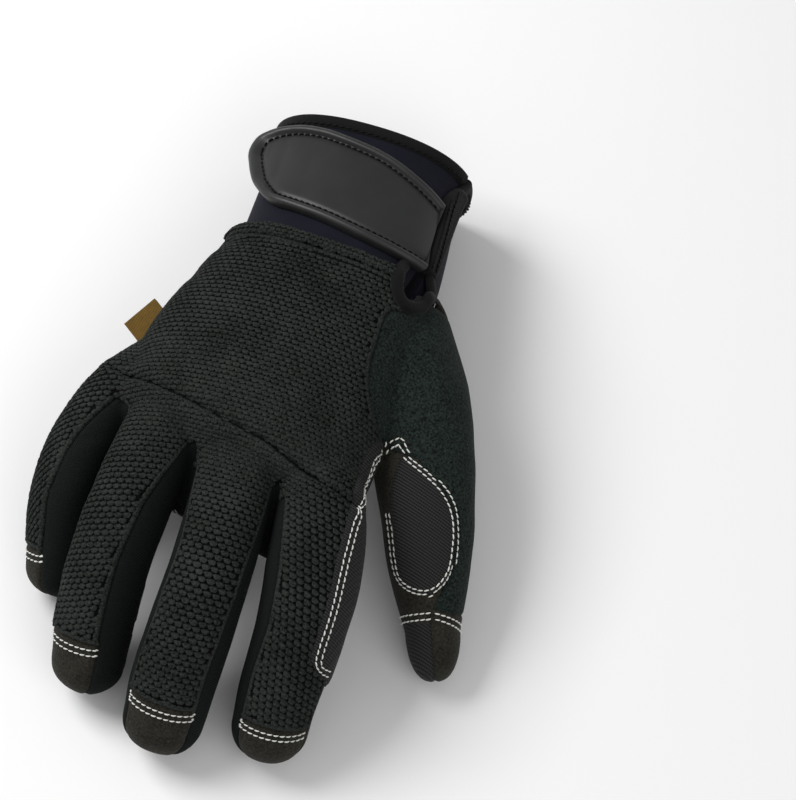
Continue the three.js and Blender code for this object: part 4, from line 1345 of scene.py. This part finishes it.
def strap_part(name, spans, profile, columns, closed=True):
    """A part of the strap laid round the cuff, its height set by the distance from its edge."""
    spans = np.array(spans, float)
    low_edge, high_edge = along_curve(spans[:, [0, 1]], 400), along_curve(spans[:, [0, 2]], 400)
    edges = [low_edge, high_edge, np.array([low_edge[0], high_edge[0]])]
    if closed:
        edges.append(np.array([low_edge[-1], high_edge[-1]]))
    rings = []
    for g in columns:
        low, high = np.interp(g, *low_edge.T), np.interp(g, *high_edge.T)
        half = (high - low) / 2
        rise = inset_steps * min(1.0, half / full_half)
        y = np.concatenate([low + rise, [(low + high) / 2], (high - rise)[::-1]])
        inset = np.min([plan_distance(np.c_[np.full(len(y), g), y], e) for e in edges], axis=0)
        lift = np.interp(g, spans[:, 0], spans[:, 3])
        top = on_cuff(g, y, np.interp(inset, *np.array(profile).T) + lift)
        under = on_cuff(g, np.linspace(high, low, 12), 0.35 + lift)
        rings.append(np.vstack([top, under]))
    return lofted(name, rings)


tab_columns = np.concatenate([np.arange(-39.2, -28, 0.25), np.arange(-28, 32, 0.9), [32]])
tab = strap_part("tab", tab_spans, tab_profile, tab_columns, closed=False)
sewn_in(tab, "strap_tab_rubber", rubber, "strap_tab")


def inside(outline, distance):
    """A line in plan moved inwards from an outline by a distance."""
    way = np.gradient(outline, axis=0)
    way /= np.maximum(np.linalg.norm(way, axis=1), 1e-9)[:, None]
    return outline + np.c_[-way[:, 1], way[:, 0]] * distance


tab_sides = np.array(tab_spans)
groove_inset, groove_end = 4.6, 31
low_line, high_line = along_curve(tab_sides[:, [0, 1]], 300), along_curve(tab_sides[:, [0, 2]], 300)
groove = inside(np.vstack([high_line[::-1], low_line[1:]]), groove_inset)
groove = groove[groove[:, 0] < groove_end]
groove_height = 2.3 + np.interp(groove[:, 0], tab_sides[:, 0], tab_sides[:, 3])
stitched_black("strap_tab_stitches", tab, [on_cuff(*groove.T, groove_height)], 2.4)

base_columns = np.concatenate([np.arange(32.8, 45, 0.4), [45.1]])
base = strap_part("base", base_spans, base_profile, base_columns)
sewn_in(base, "strap_base_cloth", tape, "strap_base", (46, 12), 1)
base_rows = [on_cuff(girth, np.linspace(4, top, 40), 3.2) for girth, top in ((34.6, 38), (36.9, 43.5))]
stitched_black("strap_base_stitches", base, base_rows, 2.3)


# Side tag: a small smooth woven loop, folded in two and caught by its ends in the outer
# side seam of the hand.
label, where = cloth("woven label")
picks = where.waves((0.8, 0.6, 0), 0.5) * 0.5 + 0.5
finished((picks * 0.6 + where.speckle(2) * 0.4).toned("33250a", "7d5f22"), picks, 0.06, 0.6)
tag_side, tag_thick = 14.0, 0.5
tag_place = np.array([-56.5, -37, 33.5])
loop_line = [(-7, 0.6), (5.5, 0.75), (6.6, 0.55), (7, 0), (6.6, -0.55), (5.5, -0.75), (-7, -0.6)]
loop_line = along_curve(np.array(loop_line), 40)
section = np.vstack([inside(loop_line, tag_thick * 0.5), inside(loop_line, -tag_thick * 0.5)[::-1]])
turn_y, turn_z = -0.3, 0.95
cos_y, sin_y, cos_z, sin_z = math.cos(turn_y), math.sin(turn_y), math.cos(turn_z), math.sin(turn_z)
spin_y = np.array([[cos_y, 0, sin_y], [0, 1, 0], [-sin_y, 0, cos_y]])
spin_z = np.array([[cos_z, -sin_z, 0], [sin_z, cos_z, 0], [0, 0, 1]])
tag_rings = []
for across in np.linspace(-tag_side / 2, tag_side / 2, 8):
    ring = np.c_[np.full(len(section), across), -section[:, 0], section[:, 1]]
    tag_rings.append(ring @ spin_y.T @ spin_z.T + tag_place)
tag = worked(lofted("tag", tag_rings), ("DIFFERENCE", form), keep=False)
sewn_in(largest(tag), "side_tag_woven", label, "side_tag", (14, 28), 1)


# Floor, world and lights: a pale floor, a white sky and two soft lamps from above, as in a
# picture taken in a light tent.
floor_mesh = bpy.data.meshes.new("floor")
floor_mesh.from_pydata([(-3, -3, 0), (3, -3, 0), (3, 3, 0), (-3, 3, 0)], [], [(0, 1, 2, 3)])
floor = new_object("floor", floor_mesh)
floor_paint = bpy.data.materials.new("pale floor")
floor_paint.use_nodes = True
fill(floor_paint.node_tree.nodes["Principled BSDF"], {"Base Color": (0.86, 0.86, 0.86, 1), "Roughness": 0.9})
floor_mesh.materials.append(floor_paint)
floor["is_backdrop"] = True

world = bpy.data.worlds.new("studio")
bpy.context.scene.world = world
world.use_nodes = True
fill(world.node_tree.nodes["Background"], {"Color": (1, 1, 1, 1), "Strength": 0.42})


def soft_light(name, place_m, size, power):
    data = bpy.data.lights.new(name, "AREA")
    data.size, data.energy = size, power
    obj = new_object(name, data)
    obj.location = place_m
    obj.rotation_mode = "QUATERNION"
    obj.rotation_quaternion = (Vector(place_m) - Vector((0, 0, 0.03))).to_track_quat("Z", "Y")


soft_light("key", (-0.65, 0.15, 0.8), 0.55, 9)
soft_light("fill", (0.6, -0.5, 0.7), 0.8, 3)
bpy.context.scene.view_settings.view_transform = "Standard"

removed(form, hollow, cuff_room, rest, grown, thumb_room, web_tools, cap_tool, fleece_tool, slit_tool,
        thumb_cap_tool, thumb_front_tool, back_tool, hem_tool, web_tool, drop_tool, web_room, cuff_slit,
        white_stitch, black_stitch, nub, small_nub)


# Camera: above the fingertips and a little to the thumb's side, looking down at the back
# of the hand through a long lens.
azimuth, elevation = math.radians(18), math.radians(65)
distance, aim = 1.1, Vector((0.03264, 0.02174, 0.04))
flat_share = math.cos(elevation)
back_way = Vector((math.sin(azimuth) * flat_share, -math.cos(azimuth) * flat_share, math.sin(elevation)))
lens = bpy.data.cameras.new("camera")
lens.lens, lens.sensor_width = 143.6, 36
camera = new_object("camera", lens)
camera.location = aim + back_way * distance
camera.rotation_mode = "QUATERNION"
camera.rotation_quaternion = back_way.to_track_quat("Z", "Y")
bpy.context.scene.camera = camera

low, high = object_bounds()
